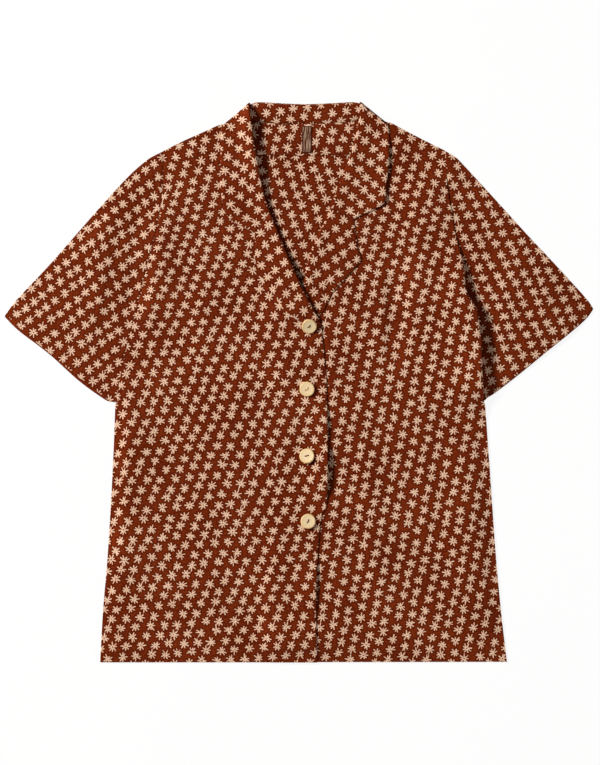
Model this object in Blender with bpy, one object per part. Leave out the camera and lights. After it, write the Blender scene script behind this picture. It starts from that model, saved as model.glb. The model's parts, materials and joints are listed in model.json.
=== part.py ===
"""A short-sleeved blouse with a notched collar, buttoned and laid flat on its back.

Metres. +X is the wearer's left, +Y points to the collar and +Z is up from the surface it lies on.
The cloth lies in levels, one wall and one gap apart. Each piece is shaped in plan and stands on its level.
"""

import math

import bpy
import numpy as np
from mathutils import Matrix, Vector
from mathutils.geometry import delaunay_2d_cdt

# The cloth's wall and the gap that neighbouring pieces keep.
WALL = 0.0011
GAP = 0.0003
PITCH = WALL + GAP
GROUND = WALL / 2  # middle height of a layer that lies on the surface
LAPEL_HALF_GAP = WALL / 2 + 1.5 * GAP  # a lapel's fold goes round the front's own edge

# Garment sizes.
BUTTON_ACROSS = 0.018
BUTTON_THICK = 0.0032
STAND_BACK = 0.0225  # collar stand's height at the centre back
FACING_DEPTH = 0.036
LABEL_SIZE = (0.0132, 0.0366)
LABEL_MIDDLE_X = 0.0090
TUCK = 0.006  # how far the left sleeve's upper side runs under the front
PUFF = 0.0009  # air under the fronts and the upper side of the sleeves
COLLAR_MIDDLE_X = 0.0066

# How finely the cloth is divided.
CELL = 0.0185
BACK_CELL = 0.0235
LABEL_CELL = 0.009
RIM_STEP = 0.012
LAPEL_STEP = 0.010
SAME_PLACE = 0.0002
ROLL_STEPS = 3
SLEEVE_ALONG = 10
SLEEVE_ACROSS = 14

# Ground colours of the print seen from afar, and of the trimmings.
CLOTH_COLOUR = (0.24, 0.085, 0.042, 1.0)
INSIDE_COLOUR = (0.22, 0.075, 0.038, 1.0)
LABEL_COLOUR = (0.09, 0.028, 0.016, 1.0)
BUTTON_COLOUR = (0.86, 0.68, 0.42, 1.0)

# Edges of the body, from the hem up. Columns: x, y.
SIDE_RIGHT = [
    (-0.2394, -0.3366), (-0.2358, -0.2736), (-0.2304, -0.2088), (-0.2262, -0.1416),
    (-0.2232, -0.0816), (-0.2214, -0.0336), (-0.2208, -0.0252),
]
SIDE_LEFT = [
    (0.2490, -0.3360), (0.2418, -0.2736), (0.2358, -0.2088), (0.2310, -0.1416),
    (0.2268, -0.0816), (0.2232, -0.0336), (0.2214, -0.0240),
]
ARMHOLE_RIGHT = [
    (-0.2208, -0.0252), (-0.2142, 0.0120), (-0.2070, 0.0444), (-0.1974, 0.0804),
    (-0.1818, 0.1440), (-0.1734, 0.1764), (-0.1674, 0.2064), (-0.1638, 0.2424), (-0.1638, 0.2772),
]
ARMHOLE_LEFT = [
    (0.2214, -0.0240), (0.2178, 0.0192), (0.2184, 0.0540), (0.2142, 0.0816), (0.2082, 0.1068),
    (0.1950, 0.1548), (0.1878, 0.1764), (0.1818, 0.2064), (0.1770, 0.2364), (0.1758, 0.2772),
]
SHOULDER_RIGHT = [(-0.1638, 0.2772), (-0.1386, 0.2898), (-0.1098, 0.3024), (-0.0990, 0.3052)]
SHOULDER_LEFT = [(0.1758, 0.2772), (0.1494, 0.2904), (0.1206, 0.3036), (0.1110, 0.3080)]
UNDER_COLLAR_RIGHT = [(-0.0915, 0.3056), (-0.0840, 0.3122)]
UNDER_COLLAR_LEFT = [(0.1030, 0.3090), (0.0960, 0.3146)]
# Free edge of the wearer's right front, which lies on top, and of the left front under it.
PLACKET_RIGHT = [
    (0.0262, 0.0690), (0.0306, 0.0240), (0.0330, -0.0216), (0.0330, -0.1390),
    (0.0252, -0.1680), (0.0198, -0.2496), (0.0210, -0.3366),
]
PLACKET_LEFT = [(-0.0020, 0.1020), (-0.0090, 0.0880), (-0.0095, -0.1200), (-0.0095, -0.3364)]

# Edges of the sleeves. The overarm runs from the shoulder to the tip of the hem. Columns: x, y.
OVERARM_RIGHT = [
    (-0.1638, 0.2778), (-0.1770, 0.2712), (-0.1866, 0.2646), (-0.2058, 0.2472),
    (-0.2346, 0.2160), (-0.2682, 0.1776), (-0.3018, 0.1392), (-0.3378, 0.1008), (-0.3522, 0.0816),
]
OVERARM_LEFT = [
    (0.1758, 0.2772), (0.1878, 0.2700), (0.1974, 0.2604), (0.2118, 0.2448),
    (0.2382, 0.2160), (0.2730, 0.1776), (0.3090, 0.1392), (0.3438, 0.1008), (0.3522, 0.0888),
]
SLEEVE_HEM_RIGHT = [
    (-0.3522, 0.0816), (-0.3330, 0.0624), (-0.2982, 0.0336), (-0.2634, 0.0048), (-0.2262, -0.0240),
]
SLEEVE_HEM_LEFT = [
    (0.3522, 0.0888), (0.3420, 0.0756), (0.3162, 0.0528), (0.2802, 0.0240), (0.2258, -0.0190),
]

# Collar over each front, from the notch seam up to the shoulder: the fold line and the free edge.
# Columns: fold x, fold y, edge x, edge y, depth of the stand under it.
COLLAR_RIGHT = [
    (-0.0346, 0.2032, -0.0538, 0.1792, 0.008),
    (-0.0405, 0.2200, -0.0740, 0.1895, 0.010),
    (-0.0435, 0.2300, -0.0882, 0.2016, 0.011),
    (-0.0465, 0.2430, -0.0935, 0.2250, 0.012),
    (-0.0510, 0.2664, -0.0942, 0.2550, 0.014),
    (-0.0545, 0.2900, -0.0942, 0.2800, 0.017),
    (-0.0575, 0.3120, -0.0938, 0.2970, 0.019),
    (-0.0596, 0.3270, -0.0932, 0.3050, 0.020),
    (-0.0606, 0.3360, -0.0930, 0.3084, 0.020),
]
COLLAR_LEFT = [
    (0.0370, 0.2094, 0.0657, 0.1962, 0.008),
    (0.0405, 0.2190, 0.0840, 0.2045, 0.010),
    (0.0450, 0.2310, 0.1014, 0.2148, 0.011),
    (0.0510, 0.2460, 0.1035, 0.2340, 0.012),
    (0.0588, 0.2660, 0.1062, 0.2560, 0.014),
    (0.0665, 0.2920, 0.1074, 0.2810, 0.017),
    (0.0709, 0.3130, 0.1070, 0.2980, 0.019),
    (0.0728, 0.3280, 0.1060, 0.3060, 0.020),
    (0.0738, 0.3372, 0.1050, 0.3120, 0.020),
]
# Collar across the back, from the wearer's right to the left: the fold, and the fall hidden under the back.
COLLAR_BACK = [
    (-0.0300, 0.3345, -0.0400, 0.2890, STAND_BACK),
    (0.0054, 0.3336, 0.0060, 0.2865, STAND_BACK),
    (0.0410, 0.3350, 0.0520, 0.2895, STAND_BACK),
]
# Lapels, from the notch seam down to where they break at the top button. Same columns, with the lip last.
LAPEL_RIGHT = [
    (-0.0342, 0.2028, -0.0534, 0.1788, 0.004),
    (-0.0240, 0.1820, -0.0530, 0.1600, 0.004),
    (-0.0114, 0.1524, -0.0522, 0.1440, 0.004),
    (-0.0020, 0.1310, -0.0400, 0.1180, 0.004),
    (0.0066, 0.1104, -0.0234, 0.0936, 0.003),
    (0.0150, 0.0920, -0.0080, 0.0780, 0.003),
    (0.0236, 0.0745, 0.0110, 0.0675, 0.003),
]
LAPEL_LEFT = [
    (0.0366, 0.2088, 0.0654, 0.1956, 0.004),
    (0.0290, 0.1900, 0.0672, 0.1790, 0.004),
    (0.0174, 0.1668, 0.0708, 0.1590, 0.004),
    (0.0100, 0.1420, 0.0738, 0.1452, 0.004),
    (0.0055, 0.1250, 0.0580, 0.1270, 0.004),
    (0.0042, 0.1170, 0.0400, 0.1070, 0.004),
    (0.0040, 0.1130, 0.0300, 0.0870, 0.003),
    (0.0038, 0.1105, 0.0170, 0.0720, 0.003),
]
# Outer limit of collar and lapels, where the fronts come down again to their own level. Columns: y, x.
RISE_RIGHT = [(0.070, -0.008), (0.150, -0.060), (0.205, -0.094), (0.330, -0.100)]
RISE_LEFT = [(0.070, 0.026), (0.145, 0.078), (0.212, 0.106), (0.330, 0.112)]

# The largest soft folds. Columns: x and y of both ends, half width, height.
FOLDS = [
    (0.1230, 0.1450, 0.1190, 0.0050, 0.012, 0.0018),
    (-0.0200, -0.1400, -0.0500, -0.3150, 0.014, 0.0014),
    (-0.1450, -0.0400, -0.1900, -0.2600, 0.018, 0.0012),
    (0.0750, -0.0600, 0.1050, -0.3000, 0.016, 0.0013),
    (0.1900, -0.0500, 0.2000, -0.2600, 0.016, 0.0011),
    (-0.1080, 0.1500, -0.1180, 0.0100, 0.015, 0.0012),
    (-0.1900, 0.2060, -0.2000, 0.0900, 0.010, 0.0016),
    (-0.2500, 0.1500, -0.2350, 0.0400, 0.014, 0.0012),
    (0.2450, 0.1600, 0.2500, 0.0500, 0.015, 0.0012),
    (0.2950, 0.1200, 0.2800, 0.0500, 0.014, 0.0010),
]

# Buttons on the right front, top to bottom. Columns: x, y, tilt about X and about Y in degrees.
BUTTONS = [
    (0.0102, 0.0672, -16.0, 4.0),
    (0.0090, -0.0084, 3.0, -2.0),
    (0.0090, -0.0888, -10.0, -6.0),
    (0.0102, -0.1668, -4.0, 3.0),
]


def clear_scene():
    for thing in list(bpy.data.objects):
        bpy.data.objects.remove(thing, do_unlink=True)


def ease(value):
    """0 below 0, 1 above 1 and a soft step between."""
    value = np.clip(value, 0.0, 1.0)
    return value * value * (3.0 - 2.0 * value)


def spline(rows, step):
    """Smooth curve through the rows, with points no further apart than step in its first two columns."""
    rows = np.array(rows, float)
    ends = np.vstack([2 * rows[0] - rows[1], rows, 2 * rows[-1] - rows[-2]])
    points = []
    for i in range(1, len(rows)):
        before, start, end, after = ends[i - 1 : i + 3]
        count = max(1, math.ceil(np.linalg.norm(end[:2] - start[:2]) / step))
        for t in np.arange(count) / count:
            bend = 2 * before - 5 * start + 4 * end - after
            twist = 3 * (start - end) + after - before
            points.append(start + 0.5 * t * ((end - before) + t * (bend + t * twist)))
    return np.array(points + [rows[-1]])


def joined(*edges):
    """One closed outline from edges that meet end to end."""
    points = []
    for edge in edges:
        for point in edge:
            if not points or np.linalg.norm(point[:2] - points[-1]) > SAME_PLACE:
                points.append(np.array(point[:2]))
    if np.linalg.norm(points[0] - points[-1]) < SAME_PLACE:
        points.pop()
    return np.array(points)


def distance_to(points, line):
    """Distance in plan from each point to an open line."""
    best = np.full(len(points), 1.0)
    for start, end in zip(line[:-1], line[1:]):
        along = end - start
        share = np.clip((points - start) @ along / (along @ along), 0.0, 1.0)
        best = np.minimum(best, np.linalg.norm(points - start - share[:, None] * along, axis=1))
    return best


def inside(points, outline):
    """Whether each point lies inside the closed outline."""
    found = np.zeros(len(points), bool)
    for start, end in zip(outline, np.roll(outline, -1, axis=0)):
        crosses = (start[1] > points[:, 1]) != (end[1] > points[:, 1])
        rise = end[1] - start[1] if abs(end[1] - start[1]) > 1e-12 else 1e-12
        found ^= crosses & (points[:, 0] < start[0] + (points[:, 1] - start[1]) * (end[0] - start[0]) / rise)
    return found


def collar_rise(x, y):
    """1 where the collar's fall lies under the back, and 0 further out."""
    return ease((y - 0.262) / 0.022) * ease((0.130 - np.abs(x - COLLAR_MIDDLE_X)) / 0.022)


def armhole_points(rows):
    """Points along an armhole that the body and the sleeve share."""
    fine = spline(rows, 0.004)
    run = np.concatenate([[0.0], np.cumsum(np.linalg.norm(np.diff(fine, axis=0), axis=1))])
    shares = np.linspace(0.0, run[-1], SLEEVE_ACROSS + 1)
    return np.column_stack([np.interp(shares, run, fine[:, i]) for i in range(2)])


def lapel_rise(x, y):
    """1 under the collar and lapels on the fronts, and 0 a little beyond their edges."""
    right = np.interp(y, *zip(*RISE_RIGHT))
    left = np.interp(y, *zip(*RISE_LEFT))
    outside = np.maximum(right - x, x - left)
    return ease(1.0 - (outside - 0.004) / 0.030) * ease((y - 0.030) / 0.036)


def tuck_rise(x, y):
    """1 along the left armhole, where the front lies over the sleeve."""
    near = distance_to(np.column_stack([x, y]), np.array(ARMHOLE_LEFT))
    return ease(1.0 - (near - 0.011) / 0.022) * ease((y + 0.050) / 0.020) * ease((0.262 - y) / 0.030)


def back_level(x, y):
    return GROUND + PITCH * collar_rise(x, y)


def left_level(x, y):
    rise = np.maximum(np.maximum(collar_rise(x, y), lapel_rise(x, y)), tuck_rise(x, y))
    return GROUND + PITCH * (1.0 + rise)


def right_level(x, y):
    """The right front climbs onto the left one at the placket, and onto its lapel above the top button."""
    overlap = ease((x + 0.050) / 0.032) * ease((0.165 - y) / 0.030)
    crossing = ease((0.170 - y) / 0.047) * ease((y - 0.022) / 0.040) * ease((x + 0.055) / 0.042)
    rise = np.maximum(np.maximum(collar_rise(x, y), lapel_rise(x, y)), overlap)
    return GROUND + PITCH * (1.0 + rise + 3.1 * crossing) + 0.5 * GAP * overlap


def puff(x, y):
    """Air and soft folds above the back, fading out at the garment's outline and under the collar."""
    height = np.full(len(x), PUFF)
    points = np.column_stack([x, y])
    for x0, y0, x1, y1, half_width, fold in FOLDS:
        start, along = np.array([x0, y0]), np.array([x1 - x0, y1 - y0])
        share = np.clip((points - start) @ along / (along @ along), 0.0, 1.0)
        off = np.linalg.norm(points - start - share[:, None] * along, axis=1)
        height += fold * np.exp(-((off / half_width) ** 2)) * (0.35 + 0.65 * np.sin(math.pi * share))
    return height * ease(distance_to(points, SILHOUETTE) / 0.030) * (1.0 - lapel_rise(x, y))


def warped(points):
    """Lifts all that lies above the back by the puff at its place, so that layers stay in order."""
    points = np.array(points, float)
    above = ease((points[:, 2] - WALL) / (GAP * 0.99))
    points[:, 2] += above * puff(points[:, 0], points[:, 1])
    return points


def material(name, colour, roughness):
    made = bpy.data.materials.get(name) or bpy.data.materials.new(name)
    made.use_nodes = True
    surface = made.node_tree.nodes["Principled BSDF"]
    surface.inputs["Base Color"].default_value = colour
    surface.inputs["Roughness"].default_value = roughness
    surface.inputs["Metallic"].default_value = 0.0
    made.diffuse_color = colour
    return made


def add_object(name, points, faces, look, smooth=True):
    mesh = bpy.data.meshes.new(name)
    mesh.from_pydata([tuple(p) for p in points], [], [tuple(f) for f in faces])
    mesh.validate()
    if smooth:
        mesh.shade_smooth()
        mesh.set_sharp_from_angle(angle=math.radians(40))
    mesh.materials.append(look)
    thing = bpy.data.objects.new(name, mesh)
    bpy.context.scene.collection.objects.link(thing)
    return thing


def panel(name, outline, level, look, cell=CELL, lifted=True):
    """A cloth panel: its outline filled with an even net, given the wall's thickness at its level."""
    low, high = outline.min(axis=0), outline.max(axis=0)
    rows = np.arange(low[1], high[1], cell * 0.866)
    net = [
        (x, y)
        for i, y in enumerate(rows)
        for x in np.arange(low[0] + (i % 2) * cell / 2, high[0], cell)
    ]
    net = np.array(net) if net else np.empty((0, 2))
    closed = np.vstack([outline, outline[:1]])
    if len(net):
        net = net[inside(net, outline) & (distance_to(net, closed) > 0.55 * cell)]
    plan = np.vstack([outline, net])
    rim = [(i, (i + 1) % len(outline)) for i in range(len(outline))]
    found = delaunay_2d_cdt([Vector(p) for p in plan], rim, [], 1, 1e-7)
    plan = np.array([tuple(p) for p in found[0]])
    faces = [tuple(face) for face in found[2]]
    area = sum(np.cross(plan[b] - plan[a], plan[c] - plan[a]) for a, b, c in faces)
    if area < 0:
        faces = [face[::-1] for face in faces]
    height = level(plan[:, 0], plan[:, 1])
    top = np.column_stack([plan, height + WALL / 2])
    bottom = np.column_stack([plan, height - WALL / 2])
    points = np.vstack([top, bottom])
    if lifted:
        points = warped(points)
    count = len(plan)
    edges = {(a, b) for face in faces for a, b in zip(face, face[1:] + face[:1])}
    walls = [(b, a, a + count, b + count) for a, b in edges if (b, a) not in edges]
    under = [tuple(i + count for i in face[::-1]) for face in faces]
    return add_object(name, points, faces + under + sorted(walls), look)


def roll_path(rows, radius):
    """Middle of the fold, the way to the free edge, and its reach, for each section of a turned-back band."""
    fold, edge = rows[:, 0:2], rows[:, 2:4]
    way = edge - fold
    reach = np.linalg.norm(way, axis=1)
    way = way / reach[:, None]
    return fold + radius * way, way, reach - radius


def band_profile(reach, under, half_gap, falls=3):
    """Closed section of a turned-back band: distance from the fold, and height about its middle."""
    outer = half_gap + WALL
    profile = [(reach * (1 - i / falls), outer) for i in range(falls)]
    turn = [math.pi * (0.5 + i / ROLL_STEPS) for i in range(ROLL_STEPS + 1)]
    profile += [(outer * math.cos(a), outer * math.sin(a)) for a in turn]
    profile += [(under, -outer), (under, -half_gap)]
    profile += [(half_gap * math.cos(a), half_gap * math.sin(a)) for a in reversed(turn)]
    profile += [(reach * (i + 1) / falls, half_gap) for i in range(falls)]
    return profile


def swept(name, rings, look):
    """Closed solid through rings of equal length, with a flat cap at each end."""
    count = len(rings[0])
    points = [p for ring in rings for p in ring]
    faces = []
    for i in range(len(rings) - 1):
        for j in range(count):
            k = (j + 1) % count
            faces.append((i * count + j, i * count + k, (i + 1) * count + k, (i + 1) * count + j))
    half = count // 2
    last = (len(rings) - 1) * count
    for j in range(half - 1):
        a, b, c, d = j, j + 1, count - 2 - j, count - 1 - j
        faces.append((d, c, b, a))
        faces.append((last + a, last + b, last + c, last + d))
    return add_object(name, points, faces, look)


def facing_out(thing):
    """Turns a solid's faces outwards where its sections ran the other way."""
    mesh = thing.data
    volume = 0.0
    for face in mesh.polygons:
        corner = [mesh.vertices[i].co for i in face.vertices]
        for b, c in zip(corner[1:-1], corner[2:]):
            volume += corner[0].dot(b.cross(c))
    if volume < 0:
        mesh.flip_normals()
    return thing


def lapel(name, rows, level, look):
    """A lapel turned back over its front, with a lip round the front's edge."""
    half_gap = LAPEL_HALF_GAP
    rows = spline(rows, LAPEL_STEP)
    middle, way, reach = roll_path(rows, half_gap + WALL)
    rings = []
    for centre, along, length, under in zip(middle, way, reach, rows[:, 4]):
        ring = []
        for out, up in band_profile(length, under, half_gap):
            x, y = centre + out * along
            ring.append((x, y, float(level(np.array([x]), np.array([y]))[0]) + up))
        rings.append(ring)
    return facing_out(swept(name, rings, look))


def collar_sections():
    """Sections of the collar from the right notch over the shoulder, round the back and to the left notch.

    Each holds the middle of the fold, the way to the free edge, the way from stand to fall, the fall's reach
    and the stand's depth. At a shoulder the sections turn over about the shoulder line.
    """
    half_gap = GAP / 2
    radius = half_gap + WALL
    turn_radius = PITCH
    mid_height = GROUND + 1.5 * PITCH
    up = np.array([0.0, 0.0, 1.0])
    fronts = []
    for rows in (COLLAR_RIGHT, COLLAR_LEFT):
        fine = spline(rows, 0.012)
        middle, way, reach = roll_path(fine, radius)
        corner = fine[-1]
        side = np.array([way[-1][1], -way[-1][0]])
        if side[1] < 0:
            side = -side
        middle[-1] = corner[:2] - (turn_radius + radius) * side + radius * way[-1]
        fronts.append((middle, way, reach, fine[:, 4], side))
    sections = []

    def add(place, height, along, over, length, under):
        sections.append((np.array([*place, height]), np.array([*along, 0.0]), over, length, under))

    def shoulder(front, angles):
        middle, way, reach, stand, side = front
        out = np.array([*side, 0.0])
        for angle in angles:
            over = math.cos(angle) * up + math.sin(angle) * out
            place = np.array([*middle[-1], mid_height]) + turn_radius * over
            add(place[:2], place[2], way[-1], over, reach[-1], stand[-1])

    middle, way, reach, stand, _ = fronts[0]
    for row in range(len(middle) - 1):
        add(middle[row], mid_height + turn_radius, way[row], up, reach[row], stand[row])
    angles = np.linspace(0.0, math.pi, 7)
    shoulder(fronts[0], angles)
    starts = []
    for middle, way, reach, stand, _ in fronts:
        fold, edge = middle[-1] - radius * way[-1], middle[-1] + reach[-1] * way[-1]
        starts.append(np.array([*fold, *edge, stand[-1]]))
    across = spline([starts[0], *COLLAR_BACK, starts[1]], 0.014)
    middle, way, reach = roll_path(across, radius)
    for row in range(1, len(across) - 1):
        add(middle[row], mid_height - turn_radius, way[row], -up, reach[row], across[row, 4])
    shoulder(fronts[1], angles[::-1])
    middle, way, reach, stand, _ = fronts[1]
    for row in range(len(middle) - 2, -1, -1):
        add(middle[row], mid_height + turn_radius, way[row], up, reach[row], stand[row])
    return sections


def collar(sections, look):
    rings = []
    for centre, along, over, reach, under in sections:
        rings.append([centre + out * along + high * over for out, high in band_profile(reach, under, GAP / 2)])
    return facing_out(swept("collar", rings, look))


def neck_seam(sections, wanted):
    """Plan of the edge that is sewn to the collar's stand, for the sections that wanted accepts."""
    found = [c + (under + GAP) * along for c, along, over, _, under in sections if wanted(c, over)]
    return np.array([p[:2] for p in found])


def sleeve(name, armhole, overarm, hem, tuck, look):
    """A sleeve pressed flat: a tube whose upper and lower sides meet in folds at overarm and underarm."""
    along, across = SLEEVE_ALONG, SLEEVE_ACROSS
    armhole = armhole_points(armhole)[::-1]
    hem = spline(hem, 0.004)
    overarm = spline(overarm, 0.004)

    def at(line, share):
        run = np.concatenate([[0.0], np.cumsum(np.linalg.norm(np.diff(line[:, :2], axis=0), axis=1))])
        return np.array([np.interp(share * run[-1], run, line[:, i]) for i in range(2)])

    outward = np.sign(overarm[-1][0])
    seam_end = armhole[-1][:2] + np.array([outward * 0.0008, 0.0016])
    hem_end = hem[-1][:2]

    def place(u, v, upper):
        start = seam_end if u == 1 else at(armhole, u) + np.array([outward * 2.0 * GAP, 0.0])
        end = at(hem, u)
        top = at(overarm, v)
        low = seam_end * (1 - v) + hem_end * v
        corners = (1 - u) * (1 - v) * overarm[0][:2] + u * (1 - v) * seam_end
        corners = corners + (1 - u) * v * overarm[-1][:2] + u * v * hem_end
        point = (1 - v) * start + v * end + (1 - u) * top + u * low - corners
        if upper:
            share = float(ease((u - 0.15) / 0.2) * ease((1 - u) / 0.25))
            point = point - np.array([outward * tuck * share * (1 - v) ** 4, 0.0])
        return point

    radius = GAP / 2 + WALL
    middle = GROUND + PITCH / 2
    loops = {"outer": [], "inner": []}
    for i in range(along + 1):
        v = i / along
        ends = place(0.0, v, False), place(1.0, v, False)
        cross = (ends[1] - ends[0]) / np.linalg.norm(ends[1] - ends[0])
        inset = radius * cross
        for key, r in (("outer", radius), ("inner", GAP / 2)):
            ring = []
            for j in range(across + 1):
                end = (j == 0) - (j == across)
                ring.append((*(place(j / across, v, True) + end * inset), middle + r))
            for k in range(1, ROLL_STEPS):
                a = math.pi * (0.5 - k / ROLL_STEPS)
                ring.append((*(ends[1] - inset + r * math.cos(a) * cross), middle + r * math.sin(a)))
            for j in range(across, -1, -1):
                end = (j == 0) - (j == across)
                ring.append((*(place(j / across, v, False) + end * inset), middle - r))
            for k in range(1, ROLL_STEPS):
                a = math.pi * (0.5 - k / ROLL_STEPS)
                ring.append((*(ends[0] + inset - r * math.cos(a) * cross), middle - r * math.sin(a)))
            loops[key].append(ring)
    count = len(loops["outer"][0])
    points = [p for key in ("outer", "inner") for ring in loops[key] for p in ring]
    shift = (along + 1) * count
    faces = []
    for i in range(along):
        for j in range(count):
            k = (j + 1) % count
            a, b, c, d = i * count + j, i * count + k, (i + 1) * count + k, (i + 1) * count + j
            faces.append((a, b, c, d))
            faces.append((shift + d, shift + c, shift + b, shift + a))
    for j in range(count):
        k = (j + 1) % count
        last = along * count
        faces.append((j, shift + j, shift + k, k))
        faces.append((last + k, shift + last + k, shift + last + j, last + j))
    return facing_out(add_object(name, warped(points), faces, look))


def button(name, x, y, tilt_x, tilt_y, look):
    """A turned two-hole button: a raised rim round a shallow dish, tilted as it lies on its thread."""
    half = BUTTON_ACROSS / 2
    profile = [
        (0.0, 0.0), (half * 0.72, 0.0), (half * 0.94, BUTTON_THICK * 0.30), (half, BUTTON_THICK * 0.55),
        (half * 0.95, BUTTON_THICK * 0.88), (half * 0.84, BUTTON_THICK), (half * 0.70, BUTTON_THICK * 0.90),
        (half * 0.55, BUTTON_THICK * 0.68), (0.0, BUTTON_THICK * 0.62),
    ]
    sides = 18
    points = [(0.0, 0.0, profile[0][1]), (0.0, 0.0, profile[-1][1])]
    rings = []
    for radius, height in profile[1:-1]:
        rings.append(len(points))
        for i in range(sides):
            a = 2 * math.pi * i / sides
            points.append((radius * math.cos(a), radius * math.sin(a), height))
    faces = []
    for i in range(sides):
        k = (i + 1) % sides
        faces.append((0, rings[0] + k, rings[0] + i))
        faces.append((1, rings[-1] + i, rings[-1] + k))
        for low, high in zip(rings[:-1], rings[1:]):
            faces.append((low + i, low + k, high + k, high + i))
    thing = add_object(name, points, faces, look)
    for side in (-1, 1):
        bpy.ops.mesh.primitive_cylinder_add(vertices=8, radius=0.0010, depth=4 * BUTTON_THICK)
        hole = bpy.context.object
        hole.name = f"{name}_hole_{'a' if side < 0 else 'b'}"
        hole.location = (side * 0.0017, 0.0, 0.0)
        hole.parent = thing
        hole.hide_render = True
        hole.display_type = "WIRE"
        cut = thing.modifiers.new("hole", "BOOLEAN")
        cut.operation = "DIFFERENCE"
        cut.object = hole
    turn = Matrix.Rotation(math.radians(tilt_x), 4, "X") @ Matrix.Rotation(math.radians(tilt_y), 4, "Y")
    turn = turn @ Matrix.Rotation(math.radians(38.0), 4, "Z")
    reach = 0.0
    for vertex in thing.data.vertices:
        place = turn @ vertex.co
        here = np.array([x + place.x]), np.array([y + place.y])
        cloth = right_level(*here) + WALL / 2 + puff(*here)
        reach = max(reach, float((cloth + lapel_over(*here))[0]) + GAP - place.z)
    thing.matrix_world = Matrix.Translation((x, y, reach)) @ turn
    return thing


def lapel_over(x, y):
    """Extra height of the right lapel's end where a button may touch it."""
    rows = np.array(LAPEL_RIGHT)
    outline = np.vstack([rows[:, 0:2], rows[::-1, 2:4]])
    points = np.column_stack([x, y])
    near = inside(points, outline) | (distance_to(points, np.vstack([outline, outline[:1]])) < 0.0015)
    return near * PITCH


def folded_edge(rows):
    """Plan of a front's edge inside its lapel."""
    return roll_path(spline(rows, LAPEL_STEP), LAPEL_HALF_GAP + WALL)[0]


SILHOUETTE = joined(
    spline(SIDE_RIGHT, 0.03),
    spline(SLEEVE_HEM_RIGHT[::-1], 0.03),
    spline(OVERARM_RIGHT[::-1], 0.03),
    spline(SHOULDER_RIGHT, 0.03),
    spline(SHOULDER_LEFT[::-1], 0.03),
    spline(OVERARM_LEFT, 0.03),
    spline(SLEEVE_HEM_LEFT, 0.03),
    spline(SIDE_LEFT[::-1], 0.03),
)
SILHOUETTE = np.vstack([SILHOUETTE, SILHOUETTE[:1]])


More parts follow.
